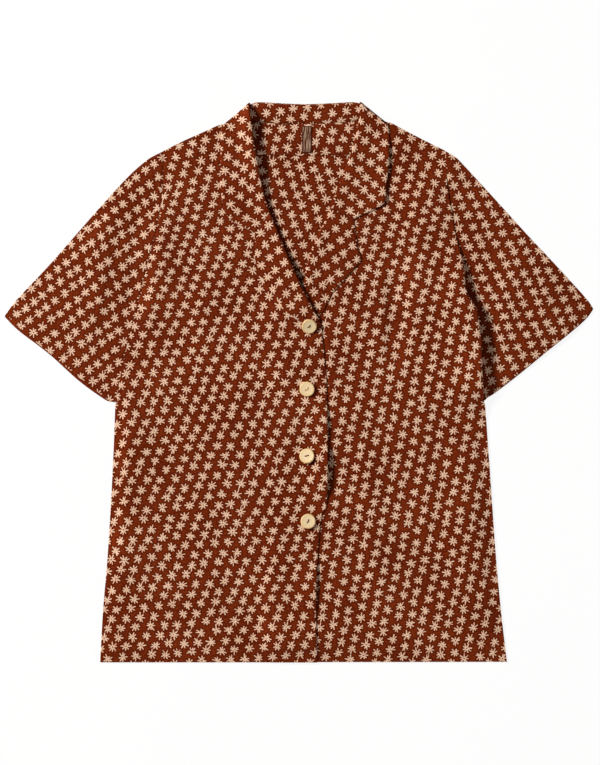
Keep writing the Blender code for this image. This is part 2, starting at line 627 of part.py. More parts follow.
def build():
    clear_scene()
    cloth = material("printed_cloth", CLOTH_COLOUR, 0.85)
    inside_look = material("printed_cloth_inside", INSIDE_COLOUR, 0.88)
    horn = material("pale_horn", BUTTON_COLOUR, 0.35)
    woven = material("woven_label", LABEL_COLOUR, 0.8)

    sections = collar_sections()
    corner_right = neck_seam(sections, lambda c, over: over[2] > 0.99 and c[0] < 0)
    corner_left = neck_seam(sections, lambda c, over: over[2] > 0.99 and c[0] > 0)[::-1]
    across = neck_seam(sections, lambda c, over: over[2] < -0.99)

    shoulder_right = spline([*SHOULDER_RIGHT, *UNDER_COLLAR_RIGHT, tuple(corner_right[-1])], LAPEL_STEP)
    shoulder_left = spline([*SHOULDER_LEFT, *UNDER_COLLAR_LEFT, tuple(corner_left[-1])], LAPEL_STEP)
    side_right = spline(SIDE_RIGHT, RIM_STEP * 1.6)
    side_left = spline(SIDE_LEFT, RIM_STEP * 1.6)
    armhole_right = armhole_points(ARMHOLE_RIGHT)
    armhole_left = armhole_points(ARMHOLE_LEFT)

    back_hem = spline([SIDE_LEFT[0], (0.0, -0.3366), SIDE_RIGHT[0]], 0.020)
    back = joined(back_hem, side_right, armhole_right, shoulder_right, across, shoulder_left[::-1],
                  armhole_left[::-1], side_left[::-1])
    panel("back", back, back_level, inside_look, cell=BACK_CELL, lifted=False)

    edge_right = folded_edge(LAPEL_RIGHT)
    hem_right = spline([PLACKET_RIGHT[-1], SIDE_RIGHT[0]], 0.018)
    front = joined(hem_right, side_right, armhole_right, shoulder_right, corner_right[::-1],
                   edge_right, spline(PLACKET_RIGHT, RIM_STEP))
    panel("front_right", front, right_level, cloth)

    edge_left = folded_edge(LAPEL_LEFT)
    hem_left = spline([PLACKET_LEFT[-1], SIDE_LEFT[0]], 0.018)
    front = joined(hem_left, side_left, armhole_left, shoulder_left, corner_left[::-1],
                   edge_left, spline(PLACKET_LEFT, RIM_STEP))
    panel("front_left", front, left_level, cloth)

    sleeve("sleeve_right", ARMHOLE_RIGHT, OVERARM_RIGHT, SLEEVE_HEM_RIGHT, 0.0, cloth)
    sleeve("sleeve_left", ARMHOLE_LEFT, OVERARM_LEFT, SLEEVE_HEM_LEFT, TUCK, cloth)

    collar(sections, cloth)
    lapel("lapel_right", LAPEL_RIGHT, right_level, cloth)
    lapel("lapel_left", LAPEL_LEFT, left_level, cloth)

    inner_right = spline([(r[0] + WALL, r[1]) for r in COLLAR_RIGHT], LAPEL_STEP)
    inner_left = spline([(r[0] - WALL, r[1]) for r in COLLAR_LEFT], LAPEL_STEP)
    seam_y = across[:, 1].min() - GAP
    low_y = seam_y - FACING_DEPTH
    keep_right = np.array([p for p in inner_right if low_y < p[1] < seam_y])
    keep_left = np.array([p for p in inner_left if low_y < p[1] < seam_y])
    ends = [np.array([np.interp(y, line[:, 1], line[:, 0]), y]) for line in (inner_right, inner_left)
            for y in (low_y, seam_y)]
    facing = joined([ends[0]], keep_right, [ends[1]], spline([ends[1], ends[3]], 0.016), [ends[3]],
                    keep_left[::-1], [ends[2]], spline([ends[2], (0.006, low_y - 0.0016), ends[0]], 0.016))
    panel("back_neck_facing", facing, lambda x, y: back_level(x, y) + PITCH, inside_look, lifted=False)

    width, length = LABEL_SIZE
    left, right, top = LABEL_MIDDLE_X - width / 2, LABEL_MIDDLE_X + width / 2, seam_y - 2 * GAP
    corners = [(left, top), (left, top - length), (right, top - length), (right, top)]
    label = joined(*[spline([corners[i], corners[(i + 1) % 4]], LABEL_CELL) for i in range(4)])
    panel("neck_label", label, lambda x, y: back_level(x, y) + 2 * PITCH, woven, cell=LABEL_CELL, lifted=False)

    for number, row in enumerate(BUTTONS, start=1):
        button(f"button_{number}", *row, horn)


build()
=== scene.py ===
"""A short-sleeved printed blouse with a notched collar, buttoned and laid flat on its back."""

import json
import math

import bpy
import numpy as np
from mathutils import Matrix, Vector
from mathutils.geometry import delaunay_2d_cdt

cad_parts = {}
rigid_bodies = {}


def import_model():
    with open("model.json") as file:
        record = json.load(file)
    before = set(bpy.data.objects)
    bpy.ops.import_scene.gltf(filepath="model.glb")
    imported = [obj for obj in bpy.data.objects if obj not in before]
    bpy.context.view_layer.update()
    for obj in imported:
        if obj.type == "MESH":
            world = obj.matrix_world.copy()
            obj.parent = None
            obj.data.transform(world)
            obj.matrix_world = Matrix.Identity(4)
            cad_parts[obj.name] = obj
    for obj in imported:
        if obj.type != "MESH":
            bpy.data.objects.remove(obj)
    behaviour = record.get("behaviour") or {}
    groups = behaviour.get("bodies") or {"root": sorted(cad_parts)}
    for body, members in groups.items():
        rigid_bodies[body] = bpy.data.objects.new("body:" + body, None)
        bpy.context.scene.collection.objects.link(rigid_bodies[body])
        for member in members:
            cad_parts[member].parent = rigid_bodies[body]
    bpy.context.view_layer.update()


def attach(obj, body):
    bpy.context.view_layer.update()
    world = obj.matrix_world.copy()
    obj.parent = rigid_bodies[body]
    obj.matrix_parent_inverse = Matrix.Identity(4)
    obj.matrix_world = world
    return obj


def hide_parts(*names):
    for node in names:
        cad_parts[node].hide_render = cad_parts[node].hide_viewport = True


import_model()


# Back
#
# The back is cut in one piece of light plain-woven cloth, printed on its face. It lies on the surface with
# its wrong side up. It is sewn to the fronts at the sides and shoulders and ends in a narrow turned hem.

CLOTH = 0.0007
GROUND = 0.00055
LAYER = 0.0014  # from one layer of cloth to the next
FINE = 0.0032  # from one point to the next along a cut edge
NET_ROW = 0.866  # from one row of a panel's net to the next, in cells
NET_CLEAR = 0.55  # from a panel's edge to its net, in cells
HEM_Y = -0.3366
HEM_DEPTH = 0.016
HEM_THICK = 0.0012
TURN_SOFT = 0.0015  # over how far the cloth thickens where it is doubled

# Edges of the body, from the hem up. Columns: x, y.
SIDE_RIGHT = [
    (-0.2394, -0.3366), (-0.2358, -0.2736), (-0.2304, -0.2088), (-0.2262, -0.1416),
    (-0.2232, -0.0816), (-0.2214, -0.0336), (-0.2208, -0.0252),
]
SIDE_LEFT = [
    (0.2490, -0.3360), (0.2418, -0.2736), (0.2358, -0.2088), (0.2310, -0.1416),
    (0.2268, -0.0816), (0.2232, -0.0336), (0.2214, -0.0240),
]
ARMHOLE_RIGHT = [
    (-0.2208, -0.0252), (-0.2142, 0.0120), (-0.2070, 0.0444), (-0.1974, 0.0804),
    (-0.1818, 0.1440), (-0.1734, 0.1764), (-0.1674, 0.2064), (-0.1638, 0.2424), (-0.1638, 0.2772),
]
ARMHOLE_LEFT = [
    (0.2214, -0.0240), (0.2178, 0.0192), (0.2184, 0.0540), (0.2142, 0.0816), (0.2082, 0.1068),
    (0.1950, 0.1548), (0.1878, 0.1764), (0.1818, 0.2064), (0.1770, 0.2364), (0.1758, 0.2772),
]
SHOULDER_RIGHT = [
    (-0.1638, 0.2772), (-0.1386, 0.2898), (-0.1098, 0.3024), (-0.0990, 0.3074),
    (-0.0915, 0.3094), (-0.0840, 0.3100), (-0.0774, 0.3104),
]
SHOULDER_LEFT = [
    (0.1758, 0.2772), (0.1494, 0.2904), (0.1206, 0.3052), (0.1110, 0.3104),
    (0.1030, 0.3124), (0.0960, 0.3134), (0.0889, 0.3140),
]
NECK_BACK = [
    (-0.0774, 0.3104), (-0.0626, 0.3120), (-0.0489, 0.3115), (-0.0352, 0.3107), (-0.0079, 0.3096),
    (0.0057, 0.3095), (0.0329, 0.3104), (0.0608, 0.3128), (0.0753, 0.3140), (0.0889, 0.3140),
]
HEM_BACK = [(0.2490, -0.3360), (0.0, -0.3366), (-0.2394, -0.3366)]
COLLAR_MIDDLE_X = 0.0066
BACK_LIFT = 0.00028  # the shallow creases that stay between the back and the surface
BACK_PRINT_ANGLE = 8.0
ROLL_OUT = 0.0012  # how far a rolled edge reaches out
ROLL_TURN = 2.6  # how far round it turns, in radians
ROLL_FULL = 0.003  # an edge that rolls down by this much or more is fully rolled


def ease(value):
    """0 below 0, 1 above 1 and a soft step between."""
    value = np.clip(value, 0.0, 1.0)
    return value * value * (3.0 - 2.0 * value)


def after(value, start, over):
    """0 up to start, 1 from start + over on."""
    return ease((value - start) / over)


def before(value, end, over):
    """1 up to end - over, 0 from end on."""
    return ease((end - value) / over)


def spline(rows, step):
    """Smooth curve through the rows, with points about one step apart in the first two columns."""
    rows = np.array(rows, float)
    ends = np.vstack([2 * rows[0] - rows[1], rows, 2 * rows[-1] - rows[-2]])
    points = []
    for i in range(1, len(rows)):
        before, start, end, after = ends[i - 1 : i + 3]
        count = max(1, math.ceil(np.linalg.norm(end[:2] - start[:2]) / step))
        for t in np.arange(count) / count:
            bend = 2 * before - 5 * start + 4 * end - after
            twist = 3 * (start - end) + after - before
            points.append(start + 0.5 * t * ((end - before) + t * (bend + t * twist)))
    return np.array(points + [rows[-1]])


def joined(*edges):
    """One closed outline, anticlockwise, from edges that meet end to end."""
    points = []
    for edge in edges:
        for point in edge:
            if not points or np.linalg.norm(point[:2] - points[-1]) > 0.0004:
                points.append(np.array(point[:2]))
    if np.linalg.norm(points[0] - points[-1]) < 0.0004:
        points.pop()
    points = np.array(points)
    after = np.roll(points, -1, axis=0)
    turn = np.sum(points[:, 0] * after[:, 1] - points[:, 1] * after[:, 0])
    return points if turn > 0 else points[::-1]


def distance_to(points, line):
    """Distance in plan from each point to an open line."""
    best = np.full(len(points), 1.0)
    for start, end in zip(line[:-1], line[1:]):
        along = end - start
        share = np.clip((points - start) @ along / (along @ along), 0.0, 1.0)
        best = np.minimum(best, np.linalg.norm(points - start - share[:, None] * along, axis=1))
    return best


def inside(points, outline):
    """Whether each point lies inside the closed outline."""
    found = np.zeros(len(points), bool)
    for start, end in zip(outline, np.roll(outline, -1, axis=0)):
        crosses = (start[1] > points[:, 1]) != (end[1] > points[:, 1])
        rise = end[1] - start[1] if abs(end[1] - start[1]) > 1e-12 else 1e-12
        found ^= crosses & (points[:, 0] < start[0] + (points[:, 1] - start[1]) * (end[0] - start[0]) / rise)
    return found


def ripples(x, y, seed, shortest, longest, height):
    """Uneven shallow ripples: waves of many directions and lengths added up."""
    pick = np.random.RandomState(seed)
    total = np.zeros(len(x))
    waves = 16
    for _ in range(waves):
        length = pick.uniform(shortest, longest)
        angle = pick.uniform(0, math.pi)
        start = pick.uniform(0, 2 * math.pi)
        total += np.sin(2 * math.pi * (x * math.cos(angle) + y * math.sin(angle)) / length + start)
    return height * total / math.sqrt(waves)


def folds_at(x, y, rows):
    """Height of soft folds. Columns: x and y of both ends, sideways bow, half width, lean, height."""
    points = np.column_stack([x, y])
    height = np.zeros(len(x))
    for x0, y0, x1, y1, bow, half_width, lean, rise in rows:
        along = np.array([x1 - x0, y1 - y0])
        length = np.linalg.norm(along)
        along = along / length
        off = points - np.array([x0, y0])
        share = off @ along / length
        across = off @ np.array([-along[1], along[0]]) - bow * np.sin(math.pi * np.clip(share, 0.0, 1.0))
        width = half_width * (1.0 + lean * np.sign(across))
        fade = after(share, -0.12, 0.40) * before(share, 1.12, 0.40)
        height += rise * np.exp(-((across / width) ** 2)) * fade
    return height


def collar_rise(x, y):
    """1 where the collar's fall lies under the back, and 0 further out."""
    return after(y, 0.262, 0.022) * before(np.abs(x - COLLAR_MIDDLE_X), 0.130, 0.022)


def grain(angle, mirrored=False, turn=0.0, low=0.0, high=0.0):
    """Places on the printed cloth for places in plan. It turns by turn degrees from y low to y high."""
    a = math.radians(angle)

    def place(x, y):
        span = max(high - low, 1e-6)
        share = np.clip((y - low) / span, 0.0, 1.0)
        bent = math.radians(turn) * ease(share)
        run = math.radians(turn) * np.where(y > high, y - 0.5 * (high + low), 0.5 * share * share * span)
        px = x + run
        py = y - bent * x
        px = -px if mirrored else px
        return np.column_stack([px * math.cos(a) + py * math.sin(a), py * math.cos(a) - px * math.sin(a)])

    return place


def place_mesh(name, points, faces, look):
    """A smooth-shaded object of the given points and faces, with one material."""
    mesh = bpy.data.meshes.new(name)
    mesh.from_pydata(np.asarray(points, float).tolist(), [], faces)
    mesh.shade_smooth()
    mesh.materials.append(look)
    thing = bpy.data.objects.new(name, mesh)
    bpy.context.scene.collection.objects.link(thing)
    return thing


def finish_cloth(name, points, faces, uvs, bare, look):
    """A piece of cloth with its places on the printed cloth, and how far each point is unprinted."""
    thing = place_mesh(name, points, faces, look)
    layer = thing.data.uv_layers.new(name="cut")
    corner = np.empty(len(thing.data.loops), np.int32)
    thing.data.loops.foreach_get("vertex_index", corner)
    layer.data.foreach_set("uv", np.asarray(uvs, np.float32)[corner].ravel())
    unprinted = thing.data.attributes.new("unprinted", "FLOAT", "POINT")
    unprinted.data.foreach_set("value", np.asarray(bare, np.float32))
    return thing


def rim_rows(half, roll, rows):
    """Plan offset outwards and height of a panel's edge, row by row from its upper to its lower face.

    Where roll is above 0 the cloth turns down and under by that much. Elsewhere the edge is plain and round.
    """
    plain, rolled = [], []
    for k in range(1, rows + 1):
        turn = math.pi * k / (rows + 1)
        plain.append((half * math.sin(turn), half * math.cos(turn)))
    side = rows // 2
    steps = [(k, 1.0) for k in range(1, side + 1)] + [(side, 0.0)] + [(k, -1.0) for k in range(side, 0, -1)]
    for k, face in steps:
        turn = ROLL_TURN * k / side
        out, down = ROLL_OUT * math.sin(turn), 0.5 * roll * (1.0 - math.cos(turn))
        tip = half if face == 0.0 else 0.0
        out = out + face * half * math.sin(turn) + tip * math.cos(turn)
        rolled.append((out, -down + face * half * math.cos(turn) - tip * math.sin(turn)))
    share = ease(roll / ROLL_FULL)
    return [
        (a[0] * (1 - share) + b[0] * share, a[1] * (1 - share) + b[1] * share) for a, b in zip(plain, rolled)
    ]


def lay_panel(name, outline, middle, thick, place, look, cell=FINE, bare=None, roll=None):
    """A cut piece of cloth laid at the height of middle(x, y), thick(x, y) through, with a rounded edge."""
    along = np.roll(outline, -1, axis=0) - np.roll(outline, 1, axis=0)
    inward = np.column_stack([-along[:, 1], along[:, 0]]) / np.linalg.norm(along, axis=1)[:, None]
    radius = 0.5 * thick(outline[:, 0], outline[:, 1])
    rolls = np.zeros(len(outline)) if roll is None else roll(outline[:, 0], outline[:, 1])
    inset = radius + ROLL_OUT * ease(rolls / ROLL_FULL)
    rim = outline + inward * inset[:, None]
    low, high = outline.min(axis=0), outline.max(axis=0)
    net = np.array([
        (x, y)
        for i, y in enumerate(np.arange(low[1], high[1], cell * NET_ROW))
        for x in np.arange(low[0] + (i % 2) * cell / 2, high[0], cell)
    ])
    net = net[inside(net, rim)]
    net = net[distance_to(net, np.vstack([rim, rim[:1]])) > NET_CLEAR * cell]
    plan = np.vstack([rim, net])
    ring = len(outline)
    edges = [(i, (i + 1) % ring) for i in range(ring)]
    found = delaunay_2d_cdt([Vector(p) for p in plan], edges, [], 1, 1e-7)
    plan = np.array([tuple(p) for p in found[0]])
    faces = [tuple(face) for face in found[2]]
    corner = np.array(faces)
    a, b, c = plan[corner[:, 0]], plan[corner[:, 1]], plan[corner[:, 2]]
    if np.sum((b - a)[:, 0] * (c - a)[:, 1] - (b - a)[:, 1] * (c - a)[:, 0]) < 0:
        faces = [face[::-1] for face in faces]
    count = len(plan)
    half = 0.5 * thick(plan[:, 0], plan[:, 1])
    height = middle(plan[:, 0], plan[:, 1])
    points = [np.column_stack([plan, height + half]), np.column_stack([plan, height - half])]
    spread = [plan, plan]
    level = middle(rim[:, 0], rim[:, 1])
    turns = 3 if roll is None else 11
    for out, up in rim_rows(radius, rolls, turns):
        edge = rim - inward * out[:, None]
        points.append(np.column_stack([edge, level + up]))
        spread.append(edge)
    round_edge = np.arange(ring)
    rows = [round_edge, *(2 * count + k * ring + round_edge for k in range(turns)), count + round_edge]
    faces = faces + [tuple(i + count for i in face[::-1]) for face in faces]
    for upper, lower in zip(rows[:-1], rows[1:]):
        for i in range(ring):
            k = (i + 1) % ring
            faces.append((int(upper[k]), int(upper[i]), int(lower[i]), int(lower[k])))
    spread = np.vstack(spread)
    unprinted = np.zeros(len(spread)) if bare is None else bare(spread[:, 0], spread[:, 1])
    return finish_cloth(name, np.vstack(points), faces, place(spread[:, 0], spread[:, 1]), unprinted, look)


def feed(tree, inputs, values):
    """Gives each named or numbered input its fixed value, or links it to another node's output."""
    for label, value in values.items():
        if isinstance(value, bpy.types.NodeSocket):
            tree.links.new(value, inputs[label])
        else:
            inputs[label].default_value = value


def add_node(tree, kind, values):
    """A shader node with its inputs fixed or linked."""
    node = tree.nodes.new(kind)
    feed(tree, node.inputs, values)
    return node


def maths(tree, operation, *values, clamp=False):
    """A math node's result."""
    node = add_node(tree, "ShaderNodeMath", dict(enumerate(values)))
    node.operation = operation
    node.use_clamp = clamp
    return node.outputs[0]


def vector_maths(tree, operation, values):
    """A vector math node's result."""
    node = tree.nodes.new("ShaderNodeVectorMath")
    node.operation = operation
    feed(tree, node.inputs, values)
    return node.outputs[0]


def split(tree, vector):
    """The three parts of a vector or of a random colour."""
    return list(add_node(tree, "ShaderNodeSeparateXYZ", {0: vector}).outputs)


def placed(tree, group, values):
    """The outputs of a node group that is placed in a tree."""
    node = tree.nodes.new("ShaderNodeGroup")
    node.node_tree = group
    feed(tree, node.inputs, values)
    return node.outputs


def stretched(tree, value, low, high, kind="LINEAR"):
    """0 where the value is low, 1 where it is high."""
    node = add_node(tree, "ShaderNodeMapRange", {"Value": value, "From Min": low, "From Max": high})
    node.interpolation_type = kind
    return node.outputs["Result"]


def new_group(name, inputs, outputs):
    """An empty shader node group with named sockets: its tree, what it is given and what it puts out."""
    tree = bpy.data.node_groups.new(name, "ShaderNodeTree")
    for way, sockets in (("INPUT", inputs), ("OUTPUT", outputs)):
        for label, kind in sockets:
            tree.interface.new_socket(name=label, in_out=way, socket_type=f"NodeSocket{kind}")
    return tree, tree.nodes.new("NodeGroupInput").outputs, tree.nodes.new("NodeGroupOutput").inputs


# The print's repeat, in millimetres on the cloth: one star to the next along a row, and to the row above.
STAR_STEP = 16.9
ROW_SHIFT = 6.2
ROW_STEP = 11.65
PETALS = 8
PETAL_SHORT = 4.7
PETAL_LONG = 7.1
PETAL_HALF = 0.76
PETAL_UNEVEN = 0.24  # how much the petals differ in width
PETAL_SPREAD = -0.045  # how much wider a petal grows for each millimetre along it
PETAL_LEAN = 0.50
STAR_JITTER = 2.6
DOT_SMALLEST = 0.45
DOT_LARGEST = 1.00
# Where a star fades in, and the deeper ground beside it. Columns: output, farthest and nearest distance.
PRINT_EDGES = (("Star", 0.62, -0.34), ("Beside", 2.5, 0.80))


def petal_star_group():
    """Distance from a place to one star of the print, below 0 inside it. The star of each cell is its own."""
    sockets = [("Place", "Vector"), ("Cell", "Vector")], [("Distance", "Float")]
    tree, given, out = new_group("petal star", *sockets)
    x, y, _ = split(tree, given["Place"])
    column, row, _ = split(tree, given["Cell"])
    chance = add_node(tree, "ShaderNodeTexWhiteNoise", {"Vector": given["Cell"]})
    moved_x, moved_y, spin = split(tree, chance.outputs["Color"])
    centre_x = maths(tree, "MULTIPLY_ADD", column, STAR_STEP, maths(tree, "MULTIPLY", row, ROW_SHIFT))
    centre_x = maths(tree, "MULTIPLY_ADD", maths(tree, "SUBTRACT", moved_x, 0.5), STAR_JITTER, centre_x)
    centre_y = maths(tree, "MULTIPLY", row, ROW_STEP)
    centre_y = maths(tree, "MULTIPLY_ADD", maths(tree, "SUBTRACT", moved_y, 0.5), STAR_JITTER, centre_y)
    dx = maths(tree, "SUBTRACT", x, centre_x)
    dy = maths(tree, "SUBTRACT", y, centre_y)
    radius = maths(tree, "SQRT", maths(tree, "MULTIPLY_ADD", dx, dx, maths(tree, "MULTIPLY", dy, dy)))
    turn = maths(tree, "DIVIDE", maths(tree, "ARCTAN2", dy, dx), 2 * math.pi / PETALS)
    turn = maths(tree, "ADD", turn, maths(tree, "ADD", spin, PETALS * 2.0))
    petal = maths(tree, "ROUND", turn)
    key = add_node(tree, "ShaderNodeCombineXYZ", {
        0: maths(tree, "ADD", column, 0.37),
        1: maths(tree, "ADD", row, 0.61),
        2: maths(tree, "MODULO", petal, float(PETALS)),
    })
    own = add_node(tree, "ShaderNodeTexWhiteNoise", {"Vector": key.outputs[0]})
    longer, leaning, wider = split(tree, own.outputs["Color"])
    lean = maths(tree, "MULTIPLY", maths(tree, "SUBTRACT", leaning, 0.5), PETAL_LEAN)
    angle = maths(tree, "ADD", maths(tree, "SUBTRACT", turn, petal), lean)
    angle = maths(tree, "MULTIPLY", angle, 2 * math.pi / PETALS)
    along = maths(tree, "MULTIPLY", radius, maths(tree, "COSINE", angle))
    across = maths(tree, "MULTIPLY", radius, maths(tree, "SINE", angle))
    reach = maths(tree, "MULTIPLY_ADD", longer, PETAL_LONG - PETAL_SHORT, PETAL_SHORT - PETAL_HALF)
    beyond = maths(tree, "MAXIMUM", maths(tree, "SUBTRACT", along, reach), 0.0)
    off = maths(tree, "MULTIPLY_ADD", beyond, beyond, maths(tree, "MULTIPLY", across, across))
    half = maths(tree, "MULTIPLY_ADD", wider, PETAL_UNEVEN, PETAL_HALF - PETAL_UNEVEN / 2)
    half = maths(tree, "MULTIPLY_ADD", along, PETAL_SPREAD, half)
    star = maths(tree, "SUBTRACT", maths(tree, "SQRT", off), half)
    dot_size = maths(tree, "MULTIPLY_ADD", moved_y, DOT_LARGEST - DOT_SMALLEST, DOT_SMALLEST)
    dot = maths(tree, "SUBTRACT", dot_size, radius)
    feed(tree, out, {"Distance": maths(tree, "MAXIMUM", star, dot)})
    return tree


def star_print_group():
    """The whole print: how far a place is star, and how far it lies close beside one."""
    tree, given, out = new_group("star print", [("Cut", "Vector")], [("Star", "Float"), ("Beside", "Float")])
    star = petal_star_group()
    even = vector_maths(tree, "SCALE", {0: given["Cut"], "Scale": 1000.0})
    uneven = add_node(tree, "ShaderNodeTexNoise", {"Vector": even, "Scale": 0.55, "Detail": 2.0})
    shift = {0: uneven.outputs["Color"], 1: (1.0, 1.0, 0.0), 2: (-0.5, -0.5, 0.0)}
    drawn = vector_maths(tree, "ADD", {0: even, 1: vector_maths(tree, "MULTIPLY_ADD", shift)})
    x, y, _ = split(tree, drawn)
    row = maths(tree, "DIVIDE", y, ROW_STEP)
    column = maths(tree, "SUBTRACT", x, maths(tree, "MULTIPLY", row, ROW_SHIFT))
    column = maths(tree, "DIVIDE", column, STAR_STEP)
    first_row = maths(tree, "FLOOR", row)
    first_column = maths(tree, "FLOOR", column)
    nearest = None
    for across in (0.0, 1.0):
        for up in (0.0, 1.0):
            cell = add_node(tree, "ShaderNodeCombineXYZ", {
                0: maths(tree, "ADD", first_column, across), 1: maths(tree, "ADD", first_row, up),
            })
            found = placed(tree, star, {"Place": drawn, "Cell": cell.outputs[0]})["Distance"]
            nearest = found if nearest is None else maths(tree, "MINIMUM", nearest, found)
    for label, farthest, closest in PRINT_EDGES:
        feed(tree, out, {label: stretched(tree, nearest, farthest, closest, "SMOOTHSTEP")})
    return tree


def plain_weave_group():
    """Height of a plain weave's threads, and a tone that drifts from thread to thread and over the cloth."""
    sockets = [("Cut", "Vector"), ("Threads", "Float")], [("Height", "Float"), ("Tone", "Float")]
    tree, given, out = new_group("plain weave", *sockets)
    waves = []
    for side in split(tree, given["Cut"])[:2]:
        run = maths(tree, "MULTIPLY", maths(tree, "MULTIPLY", side, given["Threads"]), 2 * math.pi)
        waves.append(maths(tree, "SINE", run))
    mottle = add_node(tree, "ShaderNodeTexNoise", {
        "Vector": given["Cut"], "Scale": 420.0, "Detail": 3.0, "Roughness": 0.65,
    })
    drift = add_node(tree, "ShaderNodeTexNoise", {"Vector": given["Cut"], "Scale": 14.0, "Detail": 2.0})
    drift = maths(tree, "MULTIPLY", drift.outputs["Fac"], 0.25)
    tone = maths(tree, "MULTIPLY_ADD", mottle.outputs["Fac"], 0.75, drift)
    feed(tree, out, {
        "Height": maths(tree, "MULTIPLY", *waves), "Tone": stretched(tree, tone, 0.32, 0.68),
    })
    return tree


STAR_PRINT = star_print_group()
PLAIN_WEAVE = plain_weave_group()
RUST_DEEP = (0.048, 0.0020, 0.0001, 1.0)
RUST_DARK = (0.056, 0.0034, 0.0001, 1.0)
RUST_LIGHT = (0.255, 0.0350, 0.0054, 1.0)
RUST_EDGE = (0.400, 0.1020, 0.0220, 1.0)  # where the cream runs out at the edge of a petal
CREAM_DARK = (0.610, 0.405, 0.275, 1.0)
CREAM_LIGHT = (0.935, 0.695, 0.525, 1.0)
HALO = 0.66  # how deep the ground is beside a star
CLOTH_THREADS = 1100.0  # threads a metre, in pairs


def blend_colour(tree, share, first, second):
    """A colour mix node's result. The colours are fixed ones or other nodes' outputs."""
    node = tree.nodes.new("ShaderNodeMix")
    node.data_type = "RGBA"
    feed(tree, node.inputs, {"Factor": share, 6: first, 7: second})
    return node.outputs[2]


def new_look(name):
    """A new material, its node tree and its surface's inputs."""
    look = bpy.data.materials.new(name)
    look.use_nodes = True
    return look, look.node_tree, look.node_tree.nodes["Principled BSDF"].inputs


def place_on_cut(tree):
    """The place on the cloth that a piece is cut from."""
    node = tree.nodes.new("ShaderNodeUVMap")
    node.uv_map = "cut"
    return node.outputs["UV"]


def raised(tree, height, strength, distance):
    """The normals of a surface with a fine relief."""
    values = {"Strength": strength, "Distance": distance, "Height": height}
    return add_node(tree, "ShaderNodeBump", values).outputs["Normal"]


def printed_cloth():
    """Light rust cloth with the cream star print, soft and matt, with its weave as a fine bump."""
    look, tree, surface = new_look("printed cloth")
    cut = place_on_cut(tree)
    stars = placed(tree, STAR_PRINT, {"Cut": cut})
    weave = placed(tree, PLAIN_WEAVE, {"Threads": CLOTH_THREADS, "Cut": cut})
    attribute = tree.nodes.new("ShaderNodeAttribute")
    attribute.attribute_name = "unprinted"
    unprinted = attribute.outputs["Fac"]
    shown = maths(tree, "MULTIPLY", stars["Star"], maths(tree, "SUBTRACT", 1.0, unprinted))
    rising = maths(tree, "MULTIPLY", shown, 2.0, clamp=True)
    full = maths(tree, "MULTIPLY_ADD", shown, 2.0, -1.0, clamp=True)
    near = maths(tree, "MULTIPLY", stars["Beside"], maths(tree, "MULTIPLY_ADD", unprinted, -HALO, HALO))
    ground = blend_colour(tree, weave["Tone"], RUST_DARK, RUST_LIGHT)
    ground = blend_colour(tree, near, ground, RUST_DEEP)
    edge = blend_colour(tree, rising, ground, RUST_EDGE)
    cream = blend_colour(tree, weave["Tone"], CREAM_DARK, CREAM_LIGHT)
    feed(tree, surface, {
        "Base Color": blend_colour(tree, full, edge, cream),
        "Roughness": maths(tree, "MULTIPLY_ADD", weave["Tone"], 0.12, 0.78),
        "Specular IOR Level": 0.03,
        "Sheen Weight": 0.02,
        "Sheen Roughness": 0.45,
        "Sheen Tint": (1.0, 0.60, 0.40, 1.0),
        "Normal": raised(tree, weave["Height"], 0.35, 0.00012),
    })
    return look


PRINTED_CLOTH = printed_cloth()


def hem_thick(x, y):
    """The body's cloth, doubled and stitched along the hem."""
    return CLOTH + (HEM_THICK - CLOTH) * before(y, HEM_Y + HEM_DEPTH, TURN_SOFT)


def back_middle(x, y):
    """Middle height of the back's cloth, which lies on the surface with shallow creases."""
    rest = 0.5 * hem_thick(x, y)
    lift = BACK_LIFT * (0.5 + 0.5 * np.tanh(2.0 * ripples(x, y, 5, 0.05, 0.16, 1.0)))
    return rest + lift * after(y, -0.300, 0.03) + LAYER * collar_rise(x, y)


back_outline = joined(
    *[spline(edge, FINE) for edge in (
        HEM_BACK, SIDE_RIGHT, ARMHOLE_RIGHT, SHOULDER_RIGHT, NECK_BACK,
        SHOULDER_LEFT[::-1], ARMHOLE_LEFT[::-1], SIDE_LEFT[::-1],
    )]
)
back = lay_panel("blouse_back", back_outline, back_middle, hem_thick, grain(BACK_PRINT_ANGLE, mirrored=True),
                 PRINTED_CLOTH, cell=0.0048)
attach(back, "root")
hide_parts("back")


# Fronts
#
# The two fronts are cut from the same cloth with a grown-on turned edge. The wearer's right front closes over
# the left one with the buttons. Both are sewn to the back at the sides and shoulders, with air between.

# Outer limit of collar and lapels, where the fronts come down again to their own level. Columns: y, x.
RISE_RIGHT = [(0.070, -0.008), (0.150, -0.060), (0.205, -0.094), (0.330, -0.100)]
RISE_LEFT = [(0.070, 0.026), (0.145, 0.078), (0.212, 0.106), (0.330, 0.112)]
PUFF = 0.0016
# Free edges below the lapels, from the top down. Columns: x, y.
PLACKET_RIGHT = [
    (0.0262, 0.0690), (0.0306, 0.0240), (0.0330, -0.0216), (0.0330, -0.1390),
    (0.0252, -0.1680), (0.0198, -0.2496), (0.0210, -0.3366),
]
PLACKET_LEFT = [(-0.0020, 0.1020), (-0.0090, 0.0880), (-0.0095, -0.1200), (-0.0095, -0.3364)]
NECK_RIGHT = [(-0.0774, 0.3104), (-0.0694, 0.2743), (-0.0565, 0.2298), (-0.0406, 0.1957)]
NECK_LEFT = [(0.0889, 0.3140), (0.0877, 0.2970), (0.0740, 0.2628), (0.0571, 0.2275)]
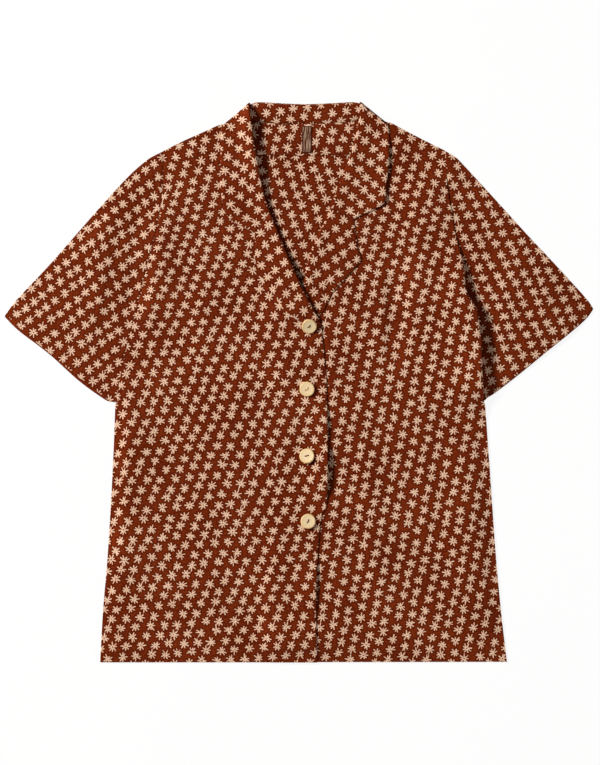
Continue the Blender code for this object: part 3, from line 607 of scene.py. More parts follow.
# Lapels, from the notch down to where they break at the top button: the crease and the free edge.
# Columns: crease x and y, edge x and y, depth of the hidden lip.
LAPEL_RIGHT = [
    (-0.0352, 0.2028, -0.0534, 0.1788, 0.004), (-0.0268, 0.1820, -0.0530, 0.1600, 0.004),
    (-0.0146, 0.1524, -0.0522, 0.1440, 0.004), (-0.0050, 0.1310, -0.0400, 0.1180, 0.004),
    (0.0044, 0.1104, -0.0234, 0.0936, 0.003), (0.0138, 0.0920, -0.0080, 0.0780, 0.003),
    (0.0236, 0.0745, 0.0110, 0.0675, 0.003),
]
LAPEL_LEFT = [
    (0.0366, 0.2088, 0.0654, 0.1956, 0.004), (0.0290, 0.1900, 0.0672, 0.1790, 0.004),
    (0.0174, 0.1668, 0.0708, 0.1590, 0.004), (0.0100, 0.1420, 0.0738, 0.1452, 0.004),
    (0.0055, 0.1250, 0.0580, 0.1270, 0.004), (0.0042, 0.1170, 0.0400, 0.1070, 0.004),
    (0.0040, 0.1130, 0.0300, 0.0870, 0.003), (0.0038, 0.1105, 0.0170, 0.0720, 0.003),
]
LAPEL_ROLL = 0.00155  # middle radius of the lapels' crease
# Edges of the sleeves. The overarm runs from the shoulder to the tip of the hem. Columns: x, y.
OVERARM_RIGHT = [
    (-0.1638, 0.2778), (-0.1770, 0.2712), (-0.1866, 0.2646), (-0.2058, 0.2472),
    (-0.2346, 0.2160), (-0.2682, 0.1776), (-0.3018, 0.1392), (-0.3378, 0.1008), (-0.3522, 0.0816),
]
OVERARM_LEFT = [
    (0.1758, 0.2772), (0.1878, 0.2700), (0.1974, 0.2604), (0.2118, 0.2448),
    (0.2382, 0.2160), (0.2730, 0.1776), (0.3090, 0.1392), (0.3438, 0.1008), (0.3522, 0.0888),
]
SLEEVE_HEM_RIGHT = [
    (-0.3522, 0.0816), (-0.3330, 0.0624), (-0.2982, 0.0336), (-0.2634, 0.0048), (-0.2262, -0.0240),
]
SLEEVE_HEM_LEFT = [
    (0.3522, 0.0888), (0.3420, 0.0756), (0.3162, 0.0528), (0.2802, 0.0240), (0.2258, -0.0190),
]
# The main folds above the back. Columns: x and y of both ends, sideways bow, half width, lean, height.
FOLDS = [
    (0.1340, 0.1500, 0.1300, 0.0150, 0.003, 0.014, 0.55, 0.0021),
    (0.1090, 0.1500, 0.1070, 0.0150, 0.003, 0.009, 0.00, -0.0013),
    (0.0970, 0.1450, 0.0950, 0.0100, 0.003, 0.011, -0.30, 0.0012),
    (-0.0240, -0.1700, -0.0400, -0.3300, -0.003, 0.014, 0.35, 0.0017),
    (0.0750, -0.0600, 0.1050, -0.3000, -0.006, 0.015, 0.30, 0.0014),
    (0.1860, -0.0500, 0.2020, -0.2900, 0.003, 0.026, 0.10, 0.0028),
    (-0.2110, -0.0100, -0.2210, -0.2700, 0.000, 0.026, 0.55, 0.0038),
    (-0.1080, 0.1500, -0.1180, 0.0100, -0.005, 0.014, 0.25, 0.0012),
    (-0.1590, 0.2350, -0.1850, 0.0550, 0.003, 0.016, 0.45, 0.0033),
    (-0.1920, 0.2320, -0.2080, 0.0700, 0.002, 0.008, 0.00, -0.0014),
    (-0.2280, 0.2050, -0.2520, 0.0500, 0.003, 0.017, -0.40, 0.0028),
    (0.2550, 0.1500, 0.2500, 0.0500, -0.005, 0.014, 0.30, 0.0012),
    (0.2950, 0.1200, 0.2800, 0.0500, 0.004, 0.013, -0.20, 0.0010),
    (0.1430, 0.2480, 0.1520, 0.1650, 0.002, 0.026, 0.10, 0.0050),
    (-0.0700, 0.0100, -0.1100, -0.1400, 0.004, 0.012, -0.25, 0.0009),
    (-0.1250, 0.2500, -0.1150, 0.1800, -0.003, 0.011, 0.20, 0.0009),
    (0.0500, -0.2300, 0.0420, -0.3300, 0.002, 0.010, 0.25, 0.0009),
    (0.1400, -0.0400, 0.1500, -0.2000, 0.005, 0.011, 0.25, 0.0009),
    (-0.0480, -0.3160, 0.0400, -0.3160, 0.002, 0.030, 0.00, 0.0036),
]
OVERHANG = 0.0135  # how far the left front stands off the sleeve that runs under it
GAPE = 0.0026  # how far the right front's edge stands up where no button holds it
# Where it does so. Columns: share of GAPE, y where it starts and over what, y where it ends and over what.
GAPES = [
    (1.0, -0.018, 0.03, -0.088, 0.03), (2.3, -0.066, 0.025, -0.146, 0.03), (0.8, -0.200, 0.04, -0.290, 0.04),
]
EDGE_DROOP = 0.0003  # how far it comes down elsewhere
NESTLE = 0.0010  # how far the left front comes up beside it
FACING_WIDE = 0.028  # width of the turned facing along a free edge
LAPELS_END_Y = 0.060  # the free edges below it are turned, and those above it are the lapels' creases
PUCKER = 0.00018

# The left front's edge over the sleeve. Columns: x, y.
FRONT_ARMHOLE_LEFT = [
    (0.2214, -0.0240), (0.2178, 0.0192), (0.2178, 0.0480), (0.2154, 0.0660), (0.2124, 0.0840),
    (0.2082, 0.0940), (0.2022, 0.1030), (0.1986, 0.1120), (0.1974, 0.1330), (0.1932, 0.1548),
    (0.1872, 0.1764), (0.1818, 0.2064), (0.1770, 0.2364), (0.1758, 0.2772),
]

silhouette = joined(
    *[spline(edge, 0.02) for edge in (
        SIDE_RIGHT, SLEEVE_HEM_RIGHT[::-1], OVERARM_RIGHT[::-1], SHOULDER_RIGHT, SHOULDER_LEFT[::-1],
        OVERARM_LEFT, SLEEVE_HEM_LEFT, SIDE_LEFT[::-1], [SIDE_LEFT[0], SIDE_RIGHT[0]],
    )]
)
silhouette = np.vstack([silhouette, silhouette[:1]])
seams = [spline(edge, 0.006) for edge in (SIDE_RIGHT, ARMHOLE_RIGHT, SIDE_LEFT, ARMHOLE_LEFT)]


def nearest_on(points, line):
    """Distance in plan from each point to an open line, and how far along the line that is."""
    best = np.full(len(points), 1.0)
    run = np.zeros(len(points))
    before = 0.0
    for start, end in zip(line[:-1], line[1:]):
        length = np.linalg.norm(end - start)
        share = np.clip((points - start) @ (end - start) / length**2, 0.0, 1.0)
        off = np.linalg.norm(points - start - share[:, None] * (end - start), axis=1)
        closer = off < best
        best[closer] = off[closer]
        run[closer] = before + share[closer] * length
        before += length
    return best, run


def puckers(x, y):
    """Small uneven gathers that the seams pull into the cloth beside them."""
    total = np.zeros(len(x))
    for number, seam in enumerate(seams):
        off, run = nearest_on(np.column_stack([x, y]), seam)
        pick = np.random.RandomState(40 + number)
        lengths, starts = pick.uniform(0.008, 0.024, 4), pick.uniform(0.0, 6.28, 4)
        wave = sum(np.sin(2 * math.pi * run / length + start) for length, start in zip(lengths, starts))
        total += PUCKER * 0.5 * wave * np.exp(-((off / 0.010) ** 2))
    return total


def lapel_rise(x, y):
    """1 under the collar and lapels on the fronts, and 0 a little beyond their edges."""
    beyond_right = np.interp(y, *zip(*RISE_RIGHT)) - x
    beyond_left = x - np.interp(y, *zip(*RISE_LEFT))
    down = np.minimum(ease(1.0 - (beyond_right - 0.004) / 0.030), ease(1.0 - (beyond_left - 0.003) / 0.016))
    return down * after(y, 0.030, 0.036)


def tuck_rise(x, y):
    """1 along the left armhole, where the front lies over the sleeve."""
    near = distance_to(np.column_stack([x, y]), np.array(ARMHOLE_LEFT))
    return ease(1.0 - (near - 0.011) / 0.022) * after(y, -0.050, 0.020) * before(y, 0.262, 0.030)


def puff(x, y):
    """Air and folds above the back, fading out at the garment's outline and under the collar."""
    points = np.column_stack([x, y])
    height = PUFF + folds_at(x, y, FOLDS) + ripples(x, y, 11, 0.030, 0.085, 0.00022)
    fade = ease(distance_to(points, silhouette) / 0.020) * (1.0 - lapel_rise(x, y))
    return np.maximum(height, 0.0) * fade + ripples(x, y, 23, 0.016, 0.034, 0.00006) + puckers(x, y)


def hang(x, y):
    """Height of the soft fold that the left front forms along its armhole, over the sleeve."""
    off = distance_to(np.column_stack([x, y]), np.array(FRONT_ARMHOLE_LEFT))
    low = ease((y + 0.040 + 0.3 * off) / (0.045 + 0.6 * off))
    return OVERHANG * ease(1.0 - off / 0.100) * low * before(y, 0.182, 0.092)


def left_roll(x, y):
    """How far the left front's edge turns down to the sleeve along the armhole."""
    off = distance_to(np.column_stack([x, y]), np.array(FRONT_ARMHOLE_LEFT))
    return (hang(x, y) + 0.5 * LAYER * tuck_rise(x, y)) * (off < 0.0005)


def free_edge_x(edge, y):
    """Where a front's free edge runs at each y."""
    return np.interp(-y, [-row[1] for row in edge], [row[0] for row in edge])


def nestle(x, y):
    """How far the left front comes up against the closed edge of the right one."""
    edge = free_edge_x(PLACKET_RIGHT, y)
    beside = NESTLE * ease((x - edge - 0.0018) / 0.003) * ease(1.0 - (x - edge - 0.003) / 0.030)
    return beside * before(y, 0.074, 0.022) * after(y, -0.040, 0.025)


def left_middle(x, y):
    """Middle height of the left front's cloth."""
    rise = np.maximum(np.maximum(collar_rise(x, y), lapel_rise(x, y)), tuck_rise(x, y))
    return GROUND + LAYER * (1.0 + rise) + puff(x, y) + hang(x, y) + nestle(x, y)


def right_level(x, y):
    """The right front climbs onto the left one at the placket, and onto its lapel above the top button."""
    overlap = after(x, -0.050, 0.032) * before(y, 0.165, 0.030)
    crossing = before(y, 0.170, 0.047) * after(y, 0.060, 0.028) * after(x, -0.055, 0.042)
    rise = np.maximum(collar_rise(x, y), lapel_rise(x, y) + overlap)
    return GROUND + LAYER * (1.0 + rise + 2.2 * crossing) + 0.00015 * overlap


def gape(x, y):
    """The right front's edge lifts where no button holds it."""
    near = ease(1.0 - (free_edge_x(PLACKET_RIGHT, y) - x) / 0.026)
    between = sum(
        share * before(y, upper, upper_soft) * after(y, lower, lower_soft)
        for share, upper, upper_soft, lower, lower_soft in GAPES
    )
    return GAPE * near * between


def right_middle(x, y):
    """Middle height of the right front's cloth."""
    droop = EDGE_DROOP * ease(1.0 - (free_edge_x(PLACKET_RIGHT, y) - x) / 0.008)
    droop = droop * (y < LAPELS_END_Y) * after(y, -0.190, 0.030)
    return right_level(x, y) + puff(x, y) + gape(x, y) - droop


def roll_path(rows, radius):
    """Middle of a crease, the way to the free edge, and its reach, for each section of a turned-back band."""
    crease, edge = rows[:, 0:2], rows[:, 2:4]
    reach = np.linalg.norm(edge - crease, axis=1)
    way = (edge - crease) / reach[:, None]
    return crease + radius * way, way, reach - radius


def front_thick(free_edge):
    """A front's cloth, doubled at the hem and in the turned facing along its free edge."""

    def thick(x, y):
        sign = 1.0 if free_edge is PLACKET_RIGHT else -1.0
        inside_edge = sign * (free_edge_x(free_edge, y) - x)
        turned = before(inside_edge, FACING_WIDE, TURN_SOFT) * (y < LAPELS_END_Y)
        return np.maximum(hem_thick(x, y), CLOTH + (HEM_THICK - CLOTH) * turned)

    return thick


edge_right = roll_path(spline(LAPEL_RIGHT, FINE), LAPEL_ROLL + CLOTH / 2)[0]
edge_left = roll_path(spline(LAPEL_LEFT, FINE), LAPEL_ROLL + CLOTH / 2)[0]
right_outline = joined(
    spline([PLACKET_RIGHT[-1], SIDE_RIGHT[0]], FINE), spline(SIDE_RIGHT, FINE), spline(ARMHOLE_RIGHT, FINE),
    spline(SHOULDER_RIGHT, FINE), spline(NECK_RIGHT, FINE), edge_right, spline(PLACKET_RIGHT, FINE),
)
left_outline = joined(
    spline([PLACKET_LEFT[-1], SIDE_LEFT[0]], FINE), spline(SIDE_LEFT, FINE), spline(FRONT_ARMHOLE_LEFT, FINE),
    spline(SHOULDER_LEFT, FINE), spline(NECK_LEFT, FINE), edge_left, spline(PLACKET_LEFT, FINE),
)
for name, node, outline, middle, edge, roll, place, flat, area in (
    ("blouse_front_right", "front_right", right_outline, right_middle, PLACKET_RIGHT, None,
     grain(4.0, turn=9.0, low=0.05, high=0.26), (0.28, 0.65), 0.139),
    ("blouse_front_left", "front_left", left_outline, left_middle, PLACKET_LEFT, left_roll,
     grain(15.0, turn=-7.0, low=0.05, high=0.26), (0.26, 0.65), 0.139),
):
    front = lay_panel(name, outline, middle, front_thick(edge), place, PRINTED_CLOTH, roll=roll)
    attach(front, "root")
    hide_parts(node)


# Sleeves
#
# Each short sleeve is a flat tube of the same cloth, folded along the top of the arm, with one seam under it
# and a narrow turned hem. It is sewn into the armhole. The left sleeve runs a little way under the front.

SLEEVE_ALONG = 56
SLEEVE_ACROSS = 100
ROLL = 10
SLEEVE_HEM_DEPTH = 0.08  # share of the sleeve's length that is doubled


def at(line, share):
    """Points at the given shares of a line's length."""
    run = np.concatenate([[0.0], np.cumsum(np.linalg.norm(np.diff(line[:, :2], axis=0), axis=1))])
    return np.stack([np.interp(share * run[-1], run, line[:, i]) for i in range(2)], axis=-1)


def sleeve(name, armhole, overarm, hem, tuck, longer, air, place, look):
    """A sleeve pressed flat, both plies and the two folds in one shell.

    It runs under the front by tuck, its lower ply is longer, and air is the height of its overarm fold.
    """
    armhole, overarm, hem = spline(armhole, FINE)[::-1], spline(overarm, FINE), spline(hem, FINE)
    outward = np.sign(overarm[-1][0])
    seam_end = armhole[-1] + np.array([outward * 0.0004, 0.0010])
    flat = np.linspace(0.0, 1.0, SLEEVE_ACROSS + 1)
    turn = math.pi * (0.5 - np.arange(1, ROLL) / ROLL)
    across = np.concatenate([flat, np.ones(ROLL - 1), flat[::-1], np.zeros(ROLL - 1)])
    angle = np.concatenate([np.full(len(flat), math.pi / 2), turn, np.full(len(flat), -math.pi / 2), -turn])
    upper = 0.5 + 0.5 * np.sin(angle)
    end = np.where(across == 1.0, 1.0, np.where(across == 0.0, -1.0, 0.0))

    def ring(v, radius, widest, push):
        start = at(armhole, across) - np.array([outward * 0.0003, 0.0])
        start[across == 1.0] = seam_end
        far = at(hem, across)
        top, low = at(overarm, np.array([v]))[0], seam_end * (1 - v) + hem[-1] * v
        u = across[:, None]
        corners = (1 - u) * (1 - v) * overarm[0] + u * (1 - v) * seam_end
        corners = corners + (1 - u) * v * overarm[-1] + u * v * hem[-1]
        plan = (1 - v) * start + v * far + (1 - u) * top + u * low - corners
        tucked = ease((across - 0.15) / 0.2) * ease((1 - across) / 0.25) * (1 - v) ** 4
        plan[:, 0] -= outward * tuck * tucked * upper
        way = (far - start) / np.linalg.norm(far - start, axis=1)[:, None]
        plan += way * (push + longer * (1 - upper) * v**6 * (0.7 + 0.3 * np.sin(9.0 * across + 1.0)))[:, None]
        side = (low - top) / np.linalg.norm(low - top)
        plan += side * (end * (radius * np.cos(angle) - widest))[:, None]
        lift = air * ease(across / 0.30) * (1.0 - ease((across - 0.20) / 0.75))
        lift = lift * ease(v / 0.7) * (1.0 - 0.5 * v)
        z = GROUND + LAYER / 2 + radius * np.sin(angle) + upper * (puff(plan[:, 0], plan[:, 1]) + lift)
        return np.column_stack([plan, z])

    rings = []
    for i in range(SLEEVE_ALONG + 1):
        v = i / SLEEVE_ALONG
        wall = CLOTH + 0.0003 * ease((v - 1.0 + SLEEVE_HEM_DEPTH) / 0.01)
        widest = LAYER / 2 + wall / 2
        rings.append((ring(v, widest, widest, 0.0), ring(v, LAYER / 2 - wall / 2, widest, 0.0)))
    first = ring(0.0, LAYER / 2, LAYER / 2 + CLOTH / 2, -0.0003)
    last = ring(1.0, LAYER / 2, LAYER / 2 + 0.0005, 0.0004)
    loops = [outer for outer, _ in rings] + [last] + [inner for _, inner in rings[::-1]] + [first]
    count = len(across)
    faces = []
    for i in range(len(loops)):
        here, there = i * count, ((i + 1) % len(loops)) * count
        for j in range(count):
            k = (j + 1) % count
            faces.append((here + j, here + k, there + k, there + j))
    if outward > 0:
        faces = [face[::-1] for face in faces]
    points = np.vstack(loops)
    bare = np.tile((1.0 - upper) * (1 - np.abs(end)), len(loops))
    return finish_cloth(name, points, faces, place(points[:, 0], points[:, 1]), bare, look)


for name, node, armhole, overarm, hem, tuck, longer, air, angle in (
    ("blouse_sleeve_right", "sleeve_right", ARMHOLE_RIGHT, OVERARM_RIGHT, SLEEVE_HEM_RIGHT,
     0.0, 0.0034, 0.0020, -25.0),
    ("blouse_sleeve_left", "sleeve_left", ARMHOLE_LEFT, OVERARM_LEFT, SLEEVE_HEM_LEFT,
     0.014, 0.0012, 0.0040, 54.0),
):
    tube = sleeve(name, armhole, overarm, hem, tuck, longer, air, grain(angle), PRINTED_CLOTH)
    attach(tube, "root")
    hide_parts(node)


# Collar
#
# The notched collar is one doubled band of the printed cloth, sewn to the neck edge along its stand. It folds
# over on itself: the fall shows on the fronts, and at the back of the neck only the stand's inner side shows.

STAND_BACK = 0.0231
TIP_TRIM = 0.0008
COLLAR_CLOTH = 0.0009
COLLAR_STEP = 0.0035
COLLAR_ROLL = LAYER / 2
# How far the crease stands up on each side, at the notch and at the shoulder.
CREASE_RIGHT = (0.0022, 0.0098)
CREASE_LEFT = (0.0012, 0.0020)
# Over each front, from the notch up to the shoulder. Columns: crease x and y, edge x and y, stand's depth.
COLLAR_RIGHT = [
    (-0.0356, 0.2032, -0.0538, 0.1792, 0.008), (-0.0411, 0.2200, -0.0740, 0.1895, 0.010),
    (-0.0435, 0.2300, -0.0882, 0.2016, 0.011), (-0.0465, 0.2430, -0.0935, 0.2250, 0.012),
    (-0.0510, 0.2664, -0.0942, 0.2550, 0.014), (-0.0545, 0.2900, -0.0942, 0.2800, 0.017),
    (-0.0575, 0.3120, -0.0938, 0.2970, 0.019), (-0.0596, 0.3270, -0.0932, 0.3050, 0.020),
    (-0.0606, 0.3360, -0.0930, 0.3084, 0.020),
]
COLLAR_LEFT = [
    (0.0370, 0.2094, 0.0657, 0.1962, 0.008), (0.0405, 0.2190, 0.0840, 0.2045, 0.010),
    (0.0450, 0.2310, 0.1014, 0.2148, 0.011), (0.0510, 0.2460, 0.1035, 0.2340, 0.012),
    (0.0588, 0.2660, 0.1062, 0.2560, 0.014), (0.0665, 0.2920, 0.1074, 0.2810, 0.017),
    (0.0709, 0.3130, 0.1070, 0.2980, 0.019), (0.0728, 0.3280, 0.1060, 0.3060, 0.020),
    (0.0738, 0.3372, 0.1050, 0.3120, 0.020),
]
COLLAR_BACK = [
    (-0.0510, 0.3360, -0.0640, 0.2950, 0.021), (-0.0300, 0.3352, -0.0400, 0.2890, STAND_BACK),
    (0.0054, 0.3337, 0.0060, 0.2865, STAND_BACK), (0.0410, 0.3350, 0.0520, 0.2895, STAND_BACK),
    (0.0650, 0.3362, 0.0790, 0.2960, 0.021),
]


def band_line(reach, under, half, bulge, wall, rest, falls=14, soft=0.009):
    """A turned-back band in section: distance from the crease and height of each point of its closed outline.

    Its free edge comes down to the height rest. Also gives 1 for points on the fall, 0 on the hidden side.
    """
    out = np.linspace(reach, 0.0, falls)
    up = half + (rest - half) * ease((out - reach + 0.016) / 0.016) + bulge * np.exp(-((out / soft) ** 2))
    turn = np.linspace(math.pi / 2, 1.5 * math.pi, 9)[1:-1]
    middle = 0.5 * bulge
    out = np.concatenate([out, half * np.cos(turn), np.linspace(0.0, under, 5)])
    up = np.concatenate([up, middle + (half + 0.5 * bulge) * np.sin(turn), np.full(5, -half)])
    top = np.concatenate([np.ones(falls), np.full(7, 0.5), np.zeros(5)])
    along = np.column_stack([np.gradient(out), np.gradient(up)])
    along /= np.linalg.norm(along, axis=1)[:, None]
    normal = np.column_stack([along[:, 1], -along[:, 0]]) * wall / 2
    line = np.column_stack([out, up])
    first, last = line[0] - along[0] * wall * 0.35, line[-1] + along[-1] * wall * 0.35
    ring = np.vstack([[first], line + normal, [last], (line - normal)[::-1]])
    return ring, np.concatenate([[top[0]], top, [top[-1]], top[::-1]])


def band(name, rings, uvs, bare, look):
    """A closed shell through section rings of equal length, with a rounded cap at each end."""
    count = len(rings[0])
    half = count // 2 - 1
    pair = {0: 0, half + 1: half + 1, **{j: count - j for j in range(1, half + 1)}}
    pair.update({v: k for k, v in pair.items()})
    partner = [pair[j] for j in range(count)]
    ends = []
    for ring, inner in ((rings[0], rings[1]), (rings[-1], rings[-2])):
        middle = 0.5 * (ring + ring[partner])
        beyond = ring - inner
        beyond = beyond / np.linalg.norm(beyond, axis=1)[:, None]
        ends.append(middle * 0.5 + ring * 0.5 + 0.00028 * beyond)
        ends.append(middle * 0.97 + ring * 0.03 + 0.00038 * beyond)
    rings = [ends[1], ends[0], *rings, ends[2], ends[3]]
    uvs = [uvs[0], uvs[0], *uvs, uvs[-1], uvs[-1]]
    bare = [bare[0], bare[0], *bare, bare[-1], bare[-1]]
    faces = []
    for i in range(len(rings) - 1):
        for j in range(count):
            k = (j + 1) % count
            faces.append((i * count + j, i * count + k, (i + 1) * count + k, (i + 1) * count + j))
    last = (len(rings) - 1) * count
    for j in range(1, half):
        a, b, c, d = j, j + 1, partner[j + 1], partner[j]
        faces.append((d, c, b, a))
        faces.append((last + a, last + b, last + c, last + d))
    for tip, near in ((0, 1), (half + 1, half)):
        a, b, c = tip, near, partner[near]
        faces.append((a, c, b) if tip == 0 else (a, b, c))
        faces.append((last + a, last + b, last + c) if tip == 0 else (last + a, last + c, last + b))
    thing = finish_cloth(name, np.vstack(rings), faces, np.vstack(uvs), np.concatenate(bare), look)
    volume = sum(
        thing.data.vertices[f.vertices[0]].co.dot(thing.data.vertices[b].co.cross(thing.data.vertices[c].co))
        for f in thing.data.polygons for b, c in zip(f.vertices[1:-1], f.vertices[2:])
    )
    if volume < 0:
        thing.data.flip_normals()
    return thing


def collar_sections():
    """Sections of the collar from the right notch over the shoulder, round the back and to the left notch.

    Each holds the middle of the crease, the way to the free edge, the way from stand to fall, the fall's
    reach and the stand's depth. At a shoulder the sections turn over about the shoulder line.
    """
    radius = COLLAR_ROLL + COLLAR_CLOTH / 2
    mid_height = GROUND + 1.5 * LAYER
    up = np.array([0.0, 0.0, 1.0])
    fronts = []
    for rows in (COLLAR_RIGHT, COLLAR_LEFT):
        fine = spline(rows, COLLAR_STEP)
        middle, way, reach = roll_path(fine, radius)
        side = np.array([way[-1][1], -way[-1][0]])
        side = -side if side[1] < 0 else side
        middle[-1] = fine[-1, :2] - (LAYER + radius + TIP_TRIM) * side + radius * way[-1]
        fronts.append((middle, way, reach, fine[:, 4], side))
    sections = []

    def add(place, height, along, over, length, under):
        sections.append((np.array([*place, height]), np.array([*along, 0.0]), over, length, under))

    def shoulder(front, angles):
        middle, way, reach, stand, side = front
        for turned in angles:
            over = math.cos(turned) * up + math.sin(turned) * np.array([*side, 0.0])
            place = np.array([*middle[-1], mid_height]) + LAYER * over
            add(place[:2], place[2], way[-1], over, reach[-1], stand[-1])

    middle, way, reach, stand, _ = fronts[0]
    for row in range(len(middle) - 1):
        add(middle[row], mid_height + LAYER, way[row], up, reach[row], stand[row])
    shoulder(fronts[0], np.linspace(0.0, math.pi, 11))
    starts = []
    for middle, way, reach, stand, _ in fronts:
        crease, edge = middle[-1] - radius * way[-1], middle[-1] + reach[-1] * way[-1]
        starts.append(np.array([*crease, *edge, stand[-1]]))
    across = spline([starts[0], *COLLAR_BACK, starts[1]], COLLAR_STEP)
    middle, way, reach = roll_path(across, radius)
    for row in range(1, len(across) - 1):
        add(middle[row], mid_height - LAYER, way[row], -up, reach[row], across[row, 4])
    shoulder(fronts[1], np.linspace(math.pi, 0.0, 11))
    middle, way, reach, stand, _ = fronts[1]
    for row in range(len(middle) - 2, -1, -1):
        add(middle[row], mid_height + LAYER, way[row], up, reach[row], stand[row])
    return sections


def collar(look):
    """The whole collar as one band, with its leaves on their own grain."""
    rings, uvs, bare = [], [], []
    leaf_right, leaf_left, behind = grain(81.0), grain(77.0), grain(8.0)
    for centre, along, over, reach, under in collar_sections():
        shown = max(over[2], 0.0)
        lift = CREASE_RIGHT if centre[0] < 0 else CREASE_LEFT
        lift = lift[0] + (lift[1] - lift[0]) * float(after(centre[1], 0.21, 0.09))
        lift = lift * float(before(centre[1], 0.3370, 0.016)) * shown
        rest = 0.00025
        if centre[0] > 0:
            leaf_up = after(centre[1], 0.215, 0.03) * before(centre[1], 0.310, 0.03)
            rest = 0.0008 + 0.0018 * float(leaf_up)
        ring, top = band_line(reach, under, COLLAR_ROLL, lift, COLLAR_CLOTH, rest=rest, soft=0.013)
        points = centre + ring[:, :1] * along + ring[:, 1:] * over
        x, y = points[:, 0], points[:, 1]
        points[:, 2] += top * shown * (ripples(x, y, 31, 0.018, 0.050, 0.00022) + 0.0002)
        leaf = (leaf_right if centre[0] < 0 else leaf_left)(x, y)
        rings.append(points)
        uvs.append(np.where(top[:, None] > 0.4, leaf, behind(x, y)))
        bare.append(np.zeros(len(ring)))
    return band("blouse_collar", rings, uvs, bare, look)


collar_band = collar(PRINTED_CLOTH)
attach(collar_band, "root")
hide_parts("collar")


# Lapels
#
# Above the top button each front turns back on itself and shows its facing, cut from the same cloth. The
# crease is rolled and not pressed. The right lapel ends at the button, the left one under the right front.

LAPEL_STEP = 0.003
for name, node, rows, middle, angle, crease, area in (
    ("blouse_lapel_right", "lapel_right", LAPEL_RIGHT, right_middle, -20.0, CREASE_RIGHT[0], 0.0062),
    ("blouse_lapel_left", "lapel_left", LAPEL_LEFT, left_middle, -24.0, CREASE_LEFT[0], 0.0086),
):
    rows = spline(rows, LAPEL_STEP)
    centres, ways, reaches = roll_path(rows, LAPEL_ROLL + CLOTH / 2)
    place = grain(angle)
    rings, uvs, bare = [], [], []
    for centre, way, reach, under in zip(centres, ways, reaches, rows[:, 4]):
        bulge = crease * float(after(centre[1], 0.072, 0.030))
        ring, top = band_line(reach, under, LAPEL_ROLL, bulge, CLOTH, rest=0.00085, falls=12, soft=0.011)
        plan = centre + ring[:, :1] * way
        x, y = plan[:, 0], plan[:, 1]
        z = middle(x, y) + ring[:, 1] + top * ripples(x, y, 37, 0.018, 0.045, 0.00018)
        rings.append(np.column_stack([plan, z]))
        uvs.append(place(x, y))
        bare.append(np.zeros(len(ring)))
    lapel = band(name, rings, uvs, bare, PRINTED_CLOTH)
    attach(lapel, "root")
    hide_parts(node)


# Back neck facing and label
#
# The facing is a shaped strip of the same cloth, right side out, that covers the back's neck seam inside. The
# woven label is sewn on it, its ends turned under. It is left bare.

FACING_DEPTH = 0.036
NECK_SEAM_Y = 0.3093
LABEL_SIZE = (0.0120, 0.0322)
LABEL_MIDDLE_X = 0.0086
LABEL_THREADS = 1900.0
LABEL_RUST_DARK = (0.045, 0.006, 0.002, 1.0)
LABEL_RUST_LIGHT = (0.110, 0.020, 0.007, 1.0)
LABEL_BEIGE = (0.42, 0.29, 0.19, 1.0)
facing_low = NECK_SEAM_Y - FACING_DEPTH
facing_top = NECK_SEAM_Y + 0.0002
facing_right = spline([(row[0] - 0.006, row[1]) for row in COLLAR_RIGHT], FINE)
facing_left = spline([(row[0] + 0.006, row[1]) for row in COLLAR_LEFT], FINE)


def facing_middle(x, y):
    """One layer above the back, and pressed down on it where it runs under the collar's crease."""
    under = np.maximum(
        np.interp(y, facing_right[:, 1], facing_right[:, 0]) + 0.006 - x,
        x - np.interp(y, facing_left[:, 1], facing_left[:, 0]) + 0.006,
    )
    pressed = np.maximum(ease((facing_low + 0.012 - y) / 0.012), ease((y - facing_top + 0.005) / 0.005))
    up = LAYER * (1.0 - 0.5 * ease((under + 0.004) / 0.005)) * (1.0 - 0.42 * pressed)
    return back_middle(x, y) + np.maximum(up, 0.00078) + ripples(x, y, 51, 0.02, 0.05, 0.00006)


def facing_end(line, y):
    """Where a side of the facing is at y."""
    return (np.interp(y, line[:, 1], line[:, 0]), y)


corners = [facing_end(line, y) for line in (facing_right, facing_left) for y in (facing_low, facing_top)]
facing_outline = joined(
    [p for p in facing_right[:, :2] if facing_low < p[1] < facing_top],
    spline([corners[1], (0.006, facing_top), corners[3]], FINE),
    [p for p in facing_left[::-1, :2] if facing_low < p[1] < facing_top],
    spline([corners[2], (0.006, facing_low - 0.0016), corners[0]], FINE),
)
facing = lay_panel("blouse_back_neck_facing", facing_outline, facing_middle,
                   lambda x, y: np.full(len(x), CLOTH), grain(9.0), PRINTED_CLOTH)
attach(facing, "root")
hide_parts("back_neck_facing")


